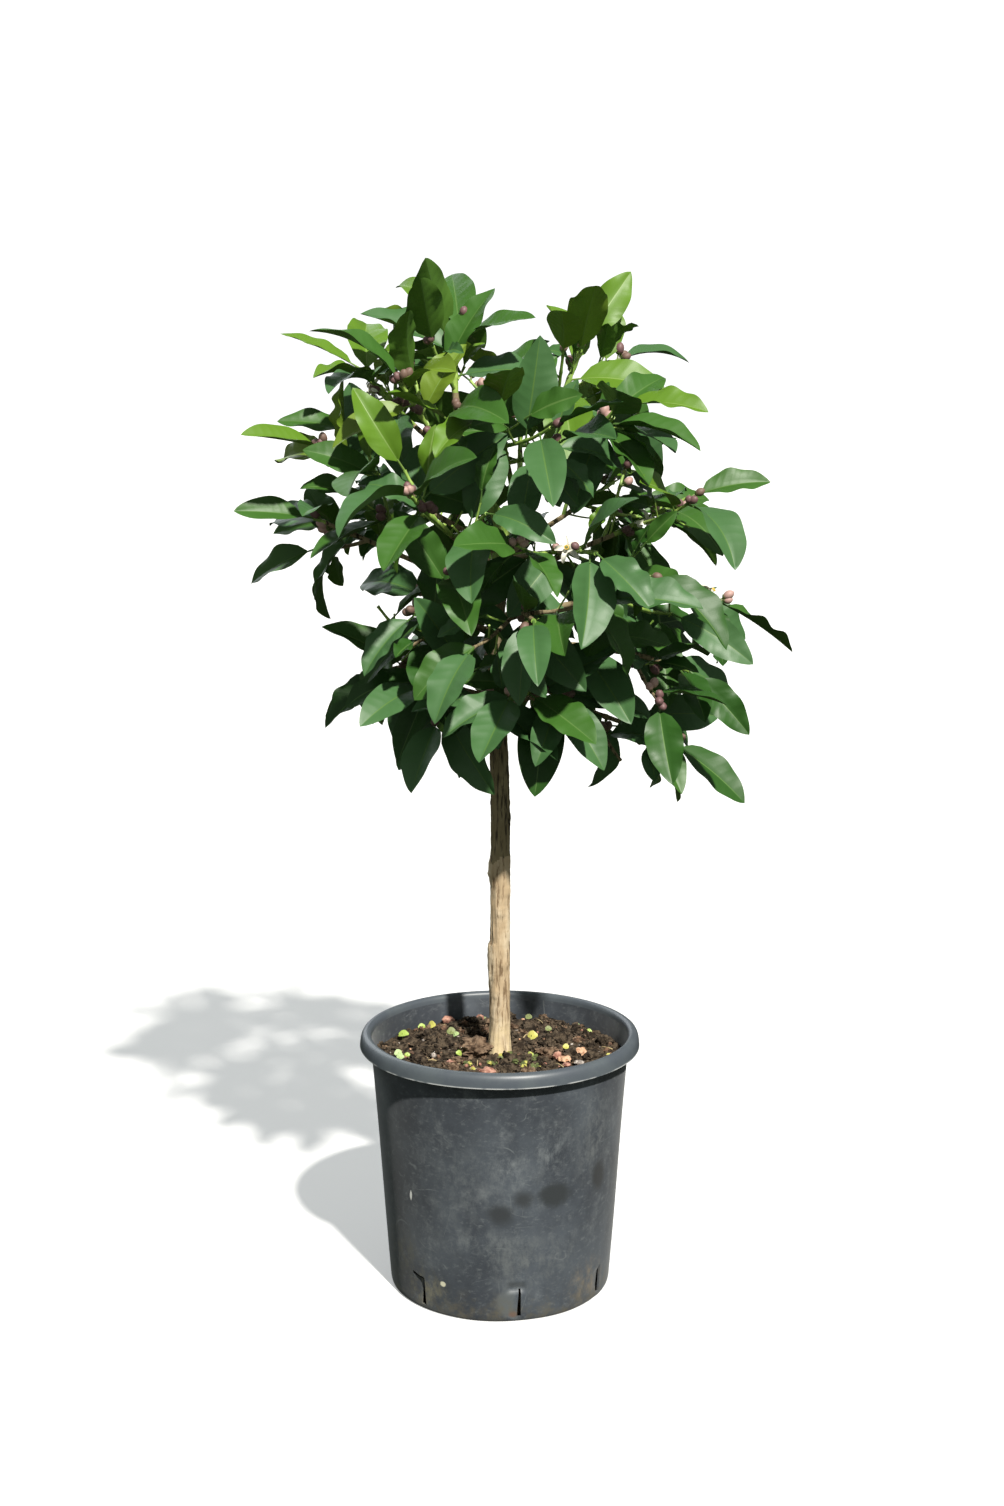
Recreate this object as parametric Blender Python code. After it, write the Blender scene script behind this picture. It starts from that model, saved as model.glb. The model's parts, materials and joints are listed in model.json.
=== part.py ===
"""Lemon tree grown as a small standard, standing in a round plastic nursery pot.

Units are metres and +Z is up. The origin is the centre of the pot's flat underside, and -Y is the
front. The pot, the soil and the trunk are turned shapes. Each bough is one tapering limb, and each
mass of foliage grows from one stem by a seeded rule: side shoots, leaves set round each shoot at
the golden angle, and a flower bud. A shoot or leaf that would touch a neighbour is left out.
"""

import math
import random
from collections import namedtuple

import bmesh
import bpy
from mathutils import Vector
from mathutils.bvhtree import BVHTree

CLEAR = 0.0003
SHARP_ANGLE = math.radians(40.0)
FLAT_ANGLE = math.radians(1.0)
NEARLY_UPRIGHT = 0.05
UP = Vector((0.0, 0.0, 1.0))
BACK = Vector((0.0, 1.0, 0.0))

# Pot: a tapering wall with a turned-down lip and upright drain slots
POT_HEIGHT = 0.261
POT_FOOT_RADIUS = 0.111
POT_TOP_RADIUS = 0.1300
POT_FOOT_CHAMFER = 0.003
POT_WALL = 0.002
POT_SIDES = 36
LIP_RADIUS = 0.140
LIP_DEPTH = 0.0145
LIP_ROUND = 0.0025
SLOT_COUNT = 7
SLOT_TURN = math.radians(10.0)
SLOT_WIDTH = 0.0035
SLOT_LOW = 0.006
SLOT_HIGH = 0.036
SLOT_CUT_INNER = 0.100
SLOT_CUT_OUTER = 0.125

# Soil: fills the pot to a little under the lip, and is level under the trunk
SOIL_LEVEL = 0.238
SOIL_RELIEF = 0.0022
SOIL_LEVEL_RADIUS = 0.018
SOIL_RINGS = 4
SOIL_WAVES = 6
SOIL_WAVE_RATE = (40.0, 110.0)
SOIL_SEED = 4

# Trunk: foot flare, two swellings, slight sway, fork at the top
TRUNK_BASE = SOIL_LEVEL + CLEAR
TRUNK_TOP = 0.775
TRUNK_FOOT_RADIUS = 0.0096
TRUNK_TOP_RADIUS = 0.0068
TRUNK_TAPER_POWER = 2.2
TRUNK_SIDES = 10
TRUNK_STEP = 0.045
TRUNK_STEP_LEAST = 0.018
FLARE = 0.0022
FLARE_HEIGHT = 0.014
FLARE_RINGS = (0.0, 0.5, 2.0)
# Swellings on the trunk's left, the graft and an old scar: height, how far out, and spread
SWELLINGS = ((0.427, 0.0026, 0.011), (0.330, 0.0018, 0.024))
SWELLING_RINGS = (-1.6, -0.7, 0.0, 0.7, 1.6)
SWAY = 0.0055
SWAY_HEIGHT = 0.64
SWAY_SPREAD = 0.10
FORK_OFFSET = 0.0022

# Limbs
BOUGH_SHARE = 0.46
LEADER_SHARE = 0.60
BOUGH_SIDES = 5
BOUGH_STEPS = 3
BOUGH_ROOT_RADIUS = 0.0036
BOUGH_END_RADIUS = 0.0025
LEADER_ROOT_RADIUS = 0.0052
LEADER_END_RADIUS = 0.0034

# Stems and shoots inside a mass of foliage
STEM_SIDES = 4
STEM_STEPS = 3
STEM_TIP_RADIUS = 0.0018
SHOOT_SIDES = 3
SHOOT_STEPS = 2
SHOOT_RADIUS = 0.0021
SHOOT_TIP_RADIUS = 0.0017
SHOOT_PLACES = (0.16, 0.46)
SHOOT_LENGTH = (0.052, 0.082)
SHOOT_ANGLE = math.radians(52.0)
SHOOT_LIFT = 0.35
SHOOT_TURN_AGAIN = (0.6, 1.8)
GOLDEN_ANGLE = math.radians(137.5)

# Leaves: a stalk, then an arched blade folded along its midrib
STEM_LEAF_PLACES = (0.32, 0.60, 0.75, 0.89, 1.0)
SHOOT_LEAF_PLACES = (0.45, 0.76, 1.0)
LEAF_ANGLE_LOW = math.radians(64.0)
LEAF_ANGLE_HIGH = math.radians(38.0)
LEAF_ANGLE_LAST = math.radians(12.0)
LEAF_LENGTH = (0.065, 0.092)
LEAF_SLENDER = (0.42, 0.54)
LEAF_ARCH = (math.radians(8.0), math.radians(60.0))
LEAF_FOLD = (math.radians(10.0), math.radians(24.0))
LEAF_ROLL = math.radians(28.0)
LEAF_FACES_UP = 0.75
LEAF_FACES_OUT = 0.30
LEAF_FACES_FRONT = (0.66, 0.26)
LEAF_WIDEST = 0.44
LEAF_TAPER = 0.95
LEAF_THICKNESS = 0.0013
LEAF_STATIONS = (0.36, 0.74)
STALK_LENGTH = 0.011
STALK_WIDTH = 0.0026
ROOT_HALF = 0.0006
LEAF_DROOP = (0.80, 0.12)
LEAF_DROOP_SPREAD = (0.15, 1.30)
LEAF_HEIGHTS = (0.56, 0.94)
LEAF_TURN_AGAIN = 0.5
TRIES = 4

# Flower buds
BUD_LENGTH = 0.013
BUD_RADIUS = 0.0038
BUD_STALK = 0.007
BUD_SIDES = 3
BUD_NECK = 0.0011
BUD_WIDEST = 0.45
BUD_GUARD_START = 0.0056
BUD_PLACES = (0.50, 0.97)

# What a new shoot or leaf keeps round itself
GUARD = 0.0010
SHOOT_GUARD_START = 0.22
LEAF_GUARD_START = 0.006
CROWN_LOW = Vector((-0.268, -0.250, 0.480))
CROWN_HIGH = Vector((0.297, 0.240, 1.014))

# One row for each bough and the mass on it. The start is a height on the trunk, or a share of the
# way along a leader. The bow moves the middle of the limb off the straight line to its tip.
Branch = namedtuple("Branch", "name parent start tip bow seed")
LEADERS = (
    Branch("top_left", "trunk", 0.768, (-0.036, -0.010, 0.955), (-0.042, 0.0, 0.0), 2694),
    Branch("top_right", "trunk", 0.742, (0.079, 0.010, 0.934), (0.0, 0.0, -0.008), 1757),
)
BRANCHES = (
    Branch("far_left", "trunk", 0.690, (-0.177, -0.015, 0.772), (0.0, 0.0, 0.006), 292),
    Branch("right", "trunk", 0.712, (0.182, -0.010, 0.792), (0.0, 0.0, -0.008), 27),
    Branch("right_mid", "trunk", 0.672, (0.212, 0.015, 0.690), (0.0, 0.0, 0.022), 455),
    Branch("low_right", "trunk", 0.602, (0.165, -0.015, 0.556), (0.0, 0.0, 0.016), 79),
    Branch("low_far_left", "trunk", 0.622, (-0.118, 0.035, 0.618), (0.0, 0.0, 0.014), 365),
    Branch("upper_left", "top_left", 0.34, (-0.133, 0.020, 0.912), (0.0, 0.0, -0.010), 482),
    Branch("upper_right", "top_right", 0.50, (0.110, -0.060, 0.876), (0.0, 0.0, 0.0), 112),
    Branch("left", "trunk", 0.738, (-0.162, -0.045, 0.838), (0.0, 0.0, 0.0), 64),
    Branch("bottom_left", "trunk", 0.592, (-0.070, -0.070, 0.619), (0.0, 0.0, 0.010), 7),
    Branch("bottom_right", "trunk", 0.612, (0.056, -0.095, 0.611), (0.0, 0.0, 0.014), 237),
    Branch("bottom_front", "trunk", 0.574, (-0.010, -0.088, 0.605), (0.0, 0.0, 0.008), 286),
    Branch("right_low", "trunk", 0.648, (0.177, -0.080, 0.634), (0.0, 0.0, 0.022), 619),
    Branch("upper_left_front", "top_left", 0.20, (-0.088, -0.090, 0.896), (0.0, 0.0, -0.015), 40),
    Branch("low_left", "trunk", 0.658, (-0.077, -0.085, 0.688), (0.0, 0.0, 0.010), 138),
    Branch("front_left", "trunk", 0.722, (-0.078, -0.160, 0.800), (0.0, 0.0, -0.010), 189),
    Branch("front_right", "trunk", 0.728, (0.085, -0.160, 0.750), (0.0, 0.0, 0.010), 165),
    Branch("front_centre", "trunk", 0.668, (0.030, -0.180, 0.692), (0.0, 0.0, 0.020), 600),
    Branch("upper_front", "top_right", 0.34, (0.000, -0.130, 0.874), (0.0, 0.0, -0.010), 428),
    Branch("upper_back", "top_right", 0.42, (0.020, 0.120, 0.890), (0.0, 0.0, -0.010), 571),
    Branch("back_left", "trunk", 0.718, (-0.105, 0.130, 0.790), (0.0, 0.0, 0.0), 165),
    Branch("back_right", "trunk", 0.732, (0.115, 0.120, 0.800), (0.0, 0.0, 0.0), 369),
    Branch("back", "trunk", 0.680, (0.000, 0.175, 0.730), (0.0, 0.0, 0.010), 510),
    Branch("low_back_left", "trunk", 0.634, (-0.060, 0.125, 0.625), (0.0, 0.0, 0.016), 257),
    Branch("low_back_right", "trunk", 0.624, (0.070, 0.125, 0.612), (0.0, 0.0, 0.016), 333),
)

# Colour and roughness of each material
FINISHES = {
    "pot": ((0.052, 0.060, 0.070), 0.62),
    "soil": ((0.045, 0.028, 0.018), 0.95),
    "bark": ((0.330, 0.240, 0.140), 0.85),
    "green_wood": ((0.220, 0.330, 0.070), 0.55),
    "leaf": ((0.035, 0.115, 0.030), 0.40),
}

Curve = namedtuple("Curve", "start middle end")
Skin = namedtuple("Skin", "points faces")
Fence = namedtuple("Fence", "tree low high")
Leaf = namedtuple("Leaf", "root heading normal length width arch fold")


def clear_scene():
    """Remove every object that the file starts with."""
    for thing in list(bpy.data.objects):
        bpy.data.objects.remove(thing, do_unlink=True)


def material(name):
    """A plain material with the colour and roughness of its row."""
    colour, roughness = FINISHES[name]
    finish = bpy.data.materials.get(name) or bpy.data.materials.new(name)
    finish.use_nodes = True
    shader = finish.node_tree.nodes["Principled BSDF"]
    shader.inputs["Base Color"].default_value = (*colour, 1.0)
    shader.inputs["Roughness"].default_value = roughness
    return finish


def add_object(name, skin, finish=None, smooth=False):
    """Put one closed skin in the scene as an object, its faces cut into triangles."""
    mesh = bpy.data.meshes.new(name)
    mesh.from_pydata(skin.points, [], skin.faces)
    shape = bmesh.new()
    shape.from_mesh(mesh)
    bmesh.ops.triangulate(shape, faces=shape.faces)
    bmesh.ops.recalc_face_normals(shape, faces=shape.faces)
    shape.to_mesh(mesh)
    shape.free()
    if smooth:
        mesh.shade_smooth()
        mesh.set_sharp_from_angle(angle=SHARP_ANGLE)
    if finish:
        mesh.materials.append(material(finish))
    thing = bpy.data.objects.new(name, mesh)
    bpy.context.scene.collection.objects.link(thing)
    return thing


def add_cutter(name, skin):
    """An object that only cuts others."""
    cutter = add_object(name, skin)
    cutter.hide_render = True
    cutter.display_type = "WIRE"
    return cutter


def cut(thing, cutter):
    """Take the cutter's shape out of an object."""
    boolean = thing.modifiers.new("cut_by_" + cutter.name, "BOOLEAN")
    boolean.operation = "DIFFERENCE"
    boolean.solver = "EXACT"
    boolean.object = cutter


def loft(rings, tip=None):
    """One closed skin over a row of rings, ending in a flat face or drawn to a tip."""
    sides = len(rings[0])
    points = [point for ring in rings for point in ring]
    faces = [tuple(reversed(range(sides)))]
    for first in range(0, sides * (len(rings) - 1), sides):
        for side in range(sides):
            after = (side + 1) % sides
            faces.append((first + side, first + after, first + sides + after, first + sides + side))
    last = sides * (len(rings) - 1)
    if tip is None:
        faces.append(tuple(range(last, last + sides)))
    else:
        points.append(tip)
        faces += [(last + side, last + (side + 1) % sides, len(points) - 1) for side in range(sides)]
    return Skin(points, faces)


def turned(profile, sides, height_change=None):
    """A solid turned round Z from a profile of (radius, height) that runs from axis to axis."""
    points, faces, rows = [], [], []
    for radius, height in profile:
        count = 1 if radius == 0.0 else sides
        rows.append(range(len(points), len(points) + count))
        for side in range(count):
            angle = math.tau * side / sides
            point = Vector((radius * math.sin(angle), -radius * math.cos(angle), height))
            if height_change:
                point.z += height_change(point)
            points.append(point)
    for row, above in zip(rows, rows[1:]):
        for side in range(sides):
            after = (side + 1) % sides
            ring = [row[side % len(row)], row[after % len(row)],
                    above[after % len(above)], above[side % len(above)]]
            faces.append(tuple(dict.fromkeys(ring)))
    return Skin(points, faces)


def wall_radius(height):
    """Outside radius of the pot's wall at a height."""
    return POT_FOOT_RADIUS + (POT_TOP_RADIUS - POT_FOOT_RADIUS) * height / POT_HEIGHT


def make_pot():
    """The pot with its turned-down lip, and slots round the foot of its wall."""
    lip_under = POT_HEIGHT - LIP_DEPTH
    inside_top = wall_radius(POT_HEIGHT) - POT_WALL
    profile = [
        (0.0, 0.0),
        (POT_FOOT_RADIUS - POT_FOOT_CHAMFER, 0.0),
        (wall_radius(POT_FOOT_CHAMFER), POT_FOOT_CHAMFER),
        (wall_radius(POT_HEIGHT - 2 * LIP_ROUND), POT_HEIGHT - 2 * LIP_ROUND),
        (LIP_RADIUS - POT_WALL, POT_HEIGHT - 2 * LIP_ROUND),
        (LIP_RADIUS - POT_WALL, lip_under),
        (LIP_RADIUS, lip_under),
        (LIP_RADIUS, POT_HEIGHT - LIP_ROUND),
        (LIP_RADIUS - LIP_ROUND, POT_HEIGHT),
        (inside_top + LIP_ROUND, POT_HEIGHT),
        (inside_top, POT_HEIGHT - LIP_ROUND),
        (wall_radius(POT_WALL) - POT_WALL, POT_WALL),
        (0.0, POT_WALL),
    ]
    pot = add_object("pot", turned(profile, POT_SIDES), "pot", smooth=True)
    cut(pot, add_cutter("slot_cutter", slot_blocks()))


def slot_blocks():
    """Upright blocks that stand through the pot's wall, one for each slot."""
    corners = ((SLOT_CUT_INNER, -0.5), (SLOT_CUT_INNER, 0.5), (SLOT_CUT_OUTER, 0.5), (SLOT_CUT_OUTER, -0.5))
    points, faces = [], []
    for number in range(SLOT_COUNT):
        angle = SLOT_TURN + math.tau * number / SLOT_COUNT
        out = Vector((math.sin(angle), -math.cos(angle), 0.0))
        along = out.cross(UP)
        first = len(points)
        for height in (SLOT_LOW, SLOT_HIGH):
            for distance, side in corners:
                points.append(out * distance + along * side * SLOT_WIDTH + UP * height)
        faces += [(first, first + 1, first + 2, first + 3), (first + 7, first + 6, first + 5, first + 4)]
        for side in range(4):
            after = (side + 1) % 4
            faces.append((first + side, first + 4 + side, first + 4 + after, first + after))
    return Skin(points, faces)


def make_soil():
    """The soil, rough on top, level where the trunk stands on it."""
    rng = random.Random(SOIL_SEED)
    waves = [(rng.uniform(0.0, math.tau), rng.uniform(*SOIL_WAVE_RATE), rng.uniform(0.0, math.tau))
             for _ in range(SOIL_WAVES)]

    def relief(point):
        spread = math.hypot(point.x, point.y) - SOIL_LEVEL_RADIUS
        if spread <= 0.0 or point.z < SOIL_LEVEL:
            return 0.0
        total = sum(math.sin((point.x * math.cos(turn) + point.y * math.sin(turn)) * rate + phase)
                    for turn, rate, phase in waves)
        return SOIL_RELIEF * total / SOIL_WAVES * min(1.0, spread / SOIL_LEVEL_RADIUS)

    def inside(height):
        return wall_radius(height) - POT_WALL - CLEAR

    floor = POT_WALL + CLEAR
    profile = [(0.0, floor), (inside(floor), floor), (inside(SOIL_LEVEL), SOIL_LEVEL)]
    for ring in range(SOIL_RINGS - 1, 0, -1):
        share = ring / SOIL_RINGS
        profile.append((SOIL_LEVEL_RADIUS + (inside(SOIL_LEVEL) - SOIL_LEVEL_RADIUS) * share, SOIL_LEVEL))
    profile += [(SOIL_LEVEL_RADIUS, SOIL_LEVEL), (0.0, SOIL_LEVEL)]
    add_object("soil", turned(profile, POT_SIDES, relief), "soil")


def trunk_share(height):
    """How far up the trunk a height is, from 0 at the soil to 1 at the fork."""
    return (height - TRUNK_BASE) / (TRUNK_TOP - TRUNK_BASE)


def trunk_centre(height):
    """Middle of the trunk at a height."""
    sway = math.exp(-((height - SWAY_HEIGHT) / SWAY_SPREAD) ** 2)
    return Vector((FORK_OFFSET * trunk_share(height) - SWAY * sway, 0.0, height))


def trunk_radius(height, side=0.0):
    """Radius of the trunk at a height; side is 1 on the left, where the graft swells."""
    taper = (TRUNK_FOOT_RADIUS - TRUNK_TOP_RADIUS) * trunk_share(height) ** TRUNK_TAPER_POWER
    flare = FLARE * math.exp(-(height - TRUNK_BASE) / FLARE_HEIGHT)
    swell = sum(out * math.exp(-((height - place) / spread) ** 2) for place, out, spread in SWELLINGS)
    return TRUNK_FOOT_RADIUS - taper + flare + swell * side


def trunk_skin(extra=0.0):
    """The trunk's skin, or one that stands off it by a gap to cut its boughs."""
    heights = [TRUNK_BASE + FLARE_HEIGHT * step for step in FLARE_RINGS]
    heights += [place + spread * step for place, _, spread in SWELLINGS for step in SWELLING_RINGS]
    height = TRUNK_TOP
    while height > TRUNK_BASE:
        if min(abs(height - other) for other in heights) > TRUNK_STEP_LEAST:
            heights.append(height)
        height -= TRUNK_STEP
    rings = []
    for height in sorted(heights):
        centre = trunk_centre(height)
        ring = []
        for number in range(TRUNK_SIDES):
            angle = math.tau * number / TRUNK_SIDES
            radius = trunk_radius(height, max(0.0, -math.cos(angle))) + extra
            ring.append(centre + Vector((math.cos(angle), math.sin(angle), 0.0)) * radius)
        rings.append(ring)
    if extra:
        rings[-1] = [point + UP * extra for point in rings[-1]]
    return loft(rings)


def curve_point(curve, share):
    """Point of a curve at a share of its way."""
    rest = 1.0 - share
    return curve.start * rest * rest + curve.middle * 2.0 * rest * share + curve.end * share * share


def curve_heading(curve, share):
    """Direction of a curve at a share of its way."""
    step = (curve.middle - curve.start) * (1.0 - share) + (curve.end - curve.middle) * share
    return step.normalized()


def curve_part(curve, first, last):
    """The stretch of a curve between two shares of its way, as a curve of its own."""
    start, end = curve_point(curve, first), curve_point(curve, last)
    middle = start + (curve.middle - curve.start).lerp(curve.end - curve.middle, first) * (last - first)
    return Curve(start, middle, end)


def tube(curve, radii, sides, steps):
    """A tapering tube along a curve, its ends cut square."""
    rings = []
    across = curve_heading(curve, 0.0).orthogonal().normalized()
    for step in range(steps + 1):
        share = step / steps
        heading = curve_heading(curve, share)
        across = (across - heading * across.dot(heading)).normalized()
        other = heading.cross(across)
        radius = radii[0] + (radii[1] - radii[0]) * share
        centre = curve_point(curve, share)
        rings.append([centre + (across * math.cos(math.tau * side / sides)
                                + other * math.sin(math.tau * side / sides)) * radius
                      for side in range(sides)])
    return loft(rings)


def fence(skin):
    """A search tree of a skin, with its lowest and highest corners."""
    low = Vector(tuple(min(point[axis] for point in skin.points) for axis in range(3)))
    high = Vector(tuple(max(point[axis] for point in skin.points) for axis in range(3)))
    return Fence(BVHTree.FromPolygons(skin.points, skin.faces), low, high)


def is_free(guard, taken):
    """Whether a guard skin lies inside the crown and touches none of the solids that are taken."""
    mine = fence(guard)
    if any(mine.low[axis] < CROWN_LOW[axis] or mine.high[axis] > CROWN_HIGH[axis] for axis in range(3)):
        return False
    for other in taken:
        apart = any(mine.low[axis] > other.high[axis] or mine.high[axis] < other.low[axis]
                    for axis in range(3))
        if not apart and mine.tree.overlap(other.tree):
            return False
    return True


def turned_about(heading, angle):
    """A unit vector square to a heading, at an angle round it."""
    across = heading.cross(UP)
    if across.length < NEARLY_UPRIGHT:
        across = heading.cross(BACK)
    across.normalize()
    return across * math.cos(angle) + heading.cross(across) * math.sin(angle)


def by_height(height, values):
    """A value for leaves at a height, from the value for the crown's lowest and that for its highest."""
    share = (height - LEAF_HEIGHTS[0]) / (LEAF_HEIGHTS[1] - LEAF_HEIGHTS[0])
    return values[0] + (values[1] - values[0]) * min(1.0, max(0.0, share))


def new_leaf(rng, shoot, place, turn, angle):
    """A leaf that leaves its shoot at a place along it, a turn round it and an angle off it."""
    root = curve_point(shoot, place)
    along = curve_heading(shoot, place)
    heading = along * math.cos(angle) + turned_about(along, turn) * math.sin(angle)
    sink = by_height(root.z, LEAF_DROOP) * rng.uniform(*LEAF_DROOP_SPREAD)
    heading = (heading - UP * sink).normalized()
    outward = Vector((root.x, root.y, 0.0)).normalized()
    front = by_height(root.z, LEAF_FACES_FRONT)
    sky = UP * LEAF_FACES_UP + outward * LEAF_FACES_OUT - BACK * front
    normal = (sky - heading * sky.dot(heading)).normalized()
    roll = rng.uniform(-LEAF_ROLL, LEAF_ROLL)
    normal = normal * math.cos(roll) + heading.cross(normal) * math.sin(roll)
    length = rng.uniform(*LEAF_LENGTH)
    return Leaf(root, heading, normal, length, length * rng.uniform(*LEAF_SLENDER),
                rng.uniform(*LEAF_ARCH), rng.uniform(*LEAF_FOLD))


def leaf_section(leaf, along):
    """Point, heading and normal of a leaf's midrib; along is 0 to 1 on the blade, under 0 on the stalk."""
    base = leaf.root + leaf.heading * STALK_LENGTH
    if along <= 0.0:
        return base + leaf.heading * STALK_LENGTH * along, leaf.heading, leaf.normal
    bend = leaf.arch * along
    reach = leaf.length / leaf.arch
    point = base + leaf.heading * reach * math.sin(bend) - leaf.normal * reach * (1.0 - math.cos(bend))
    heading = leaf.heading * math.cos(bend) - leaf.normal * math.sin(bend)
    normal = leaf.normal * math.cos(bend) + leaf.heading * math.sin(bend)
    return point, heading, normal


def half_width(leaf, along):
    """Half the blade's width at a share of its length."""
    if along <= 0.0:
        return STALK_WIDTH / 2.0
    rise = LEAF_TAPER * LEAF_WIDEST / (1.0 - LEAF_WIDEST)
    peak = LEAF_WIDEST ** rise * (1.0 - LEAF_WIDEST) ** LEAF_TAPER
    blade = along ** rise * (1.0 - along) ** LEAF_TAPER / peak
    return max(leaf.width / 2.0 * blade, STALK_WIDTH / 2.0 * (1.0 - along))


def leaf_ring(leaf, along, extra=0.0):
    """Four corners of a leaf's section: two edges, lifted by the fold, and the midrib's two faces."""
    point, heading, normal = leaf_section(leaf, along)
    across = normal.cross(heading)
    half = half_width(leaf, along) + extra
    lift = normal * half * math.sin(leaf.fold) if along > 0.0 else Vector()
    edge = across * half * math.cos(leaf.fold)
    thick = normal * (LEAF_THICKNESS / 2.0 + extra)
    return [point + edge + lift, point + thick, point - edge + lift, point - thick]


def leaf_skin(leaf):
    """The leaf as a closed skin whose root is sunk in its shoot."""
    across = leaf.normal.cross(leaf.heading) * ROOT_HALF
    thick = leaf.normal * ROOT_HALF
    root = [leaf.root + across, leaf.root + thick, leaf.root - across, leaf.root - thick]
    rings = [root] + [leaf_ring(leaf, along) for along in (0.0,) + LEAF_STATIONS]
    return loft(rings, leaf_section(leaf, 1.0)[0])


def leaf_guard(leaf, start=0.0):
    """The leaf, a little thicker and wider, from a distance along its stalk to its tip."""
    first = start / STALK_LENGTH - 1.0
    rings = [leaf_ring(leaf, along, GUARD) for along in (first, 0.0) + LEAF_STATIONS]
    return loft(rings, leaf_section(leaf, 1.0)[0])


def bud_skin(root, heading, start=0.0, extra=0.0):
    """A plump bud on a short stalk, from a distance along the stalk."""
    across = heading.orthogonal().normalized()
    other = heading.cross(across)
    rings = []
    for distance, radius in ((start, ROOT_HALF), (BUD_STALK, BUD_NECK),
                             (BUD_STALK + BUD_LENGTH * BUD_WIDEST, BUD_RADIUS)):
        rings.append([root + heading * distance
                      + (across * math.cos(math.tau * side / BUD_SIDES)
                         + other * math.sin(math.tau * side / BUD_SIDES)) * (radius + extra)
                      for side in range(BUD_SIDES)])
    return loft(rings, root + heading * (BUD_STALK + BUD_LENGTH + extra))


def side_shoot(rng, stem, place, turn):
    """A side shoot that turns up towards its tip."""
    root = curve_point(stem, place)
    along = curve_heading(stem, place)
    heading = along * math.cos(SHOOT_ANGLE) + turned_about(along, turn) * math.sin(SHOOT_ANGLE)
    length = rng.uniform(*SHOOT_LENGTH)
    middle = root + heading * length * 0.5
    return Curve(root, middle, middle + (heading + UP * SHOOT_LIFT).normalized() * length * 0.5)


def add_if_free(skin, whole_guard, outer_guard, own, taken, skins):
    """Keep a new piece if it clears every other solid, and beyond its root its own shoot too."""
    others = [solid for solid in taken if solid is not own]
    if not is_free(whole_guard, others) or not is_free(outer_guard, [own]):
        return None
    skins.append(skin)
    taken.append(fence(skin))
    return taken[-1]


def place_leaves(rng, shoot, own, places, taken, skins):
    """Set leaves round a shoot at the golden angle, trying a few turns for each."""
    turn = rng.uniform(0.0, math.tau)
    for number, place in enumerate(places):
        share = number / (len(places) - 1)
        angle = LEAF_ANGLE_LOW + (LEAF_ANGLE_HIGH - LEAF_ANGLE_LOW) * share
        if number == len(places) - 1:
            angle = LEAF_ANGLE_LAST
        for _ in range(TRIES):
            leaf = new_leaf(rng, shoot, place, turn, angle)
            if add_if_free(leaf_skin(leaf), leaf_guard(leaf), leaf_guard(leaf, LEAF_GUARD_START),
                           own, taken, skins):
                break
            turn += rng.uniform(-LEAF_TURN_AGAIN, LEAF_TURN_AGAIN)
        turn += GOLDEN_ANGLE


def place_shoots(rng, stem, own, taken, skins):
    """Set side shoots on a stem, and give back those that found room."""
    shoots = []
    turn = rng.uniform(0.0, math.tau)
    radii = (SHOOT_RADIUS, SHOOT_TIP_RADIUS)
    wider = tuple(radius + GUARD for radius in radii)
    for place in SHOOT_PLACES:
        for _ in range(TRIES):
            shoot = side_shoot(rng, stem, place, turn)
            outer = curve_part(shoot, SHOOT_GUARD_START, 1.0)
            kept = add_if_free(tube(shoot, radii, SHOOT_SIDES, SHOOT_STEPS),
                               tube(shoot, wider, SHOOT_SIDES, SHOOT_STEPS),
                               tube(outer, wider, SHOOT_SIDES, SHOOT_STEPS), own, taken, skins)
            if kept:
                shoots.append((shoot, kept))
                break
            turn += rng.uniform(*SHOOT_TURN_AGAIN)
        turn += GOLDEN_ANGLE
    return shoots


def place_bud(rng, stem, own, taken, skins):
    """Set one bud on the outer part of a stem."""
    for _ in range(TRIES):
        place = rng.uniform(*BUD_PLACES)
        along = curve_heading(stem, place)
        heading = (along + turned_about(along, rng.uniform(0.0, math.tau))).normalized()
        root = curve_point(stem, place)
        if add_if_free(bud_skin(root, heading), bud_skin(root, heading, 0.0, GUARD),
                       bud_skin(root, heading, BUD_GUARD_START, GUARD), own, taken, skins):
            break


def grow_mass(seed, stem, own, taken):
    """Skins of one mass of foliage: side shoots, leaves and a bud on its stem."""
    rng = random.Random(seed)
    skins = []
    shoots = place_shoots(rng, stem, own, taken, skins)
    place_leaves(rng, stem, own, STEM_LEAF_PLACES, taken, skins)
    for shoot, shoot_fence in shoots:
        place_leaves(rng, shoot, shoot_fence, SHOOT_LEAF_PLACES, taken, skins)
    place_bud(rng, stem, own, taken, skins)
    return skins


def branch_curve(branch, parents):
    """The whole limb of a branch, from the middle of its parent to its tip."""
    if branch.parent == "trunk":
        start = trunk_centre(branch.start)
    else:
        start = curve_point(parents[branch.parent], branch.start)
    tip = Vector(branch.tip)
    return Curve(start, (start + tip) / 2.0 + Vector(branch.bow), tip)


def plan_limbs():
    """Curves of the boughs and of the stems that carry on from them, by branch name."""
    boughs, stems = {}, {}
    for branch in LEADERS + BRANCHES:
        whole = branch_curve(branch, boughs)
        share = BOUGH_SHARE
        if branch in LEADERS:
            share = LEADER_SHARE
        speed = ((whole.middle - whole.start).lerp(whole.end - whole.middle, share) * 2.0).length
        gap_share = CLEAR / speed
        boughs[branch.name] = curve_part(whole, 0.0, share)
        stems[branch.name] = curve_part(whole, share + gap_share, 1.0)
    return boughs, stems


def bough_radii(branch):
    """Radius of a bough at its root and at its end."""
    if branch in LEADERS:
        return LEADER_ROOT_RADIUS, LEADER_END_RADIUS
    return BOUGH_ROOT_RADIUS, BOUGH_END_RADIUS


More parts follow.
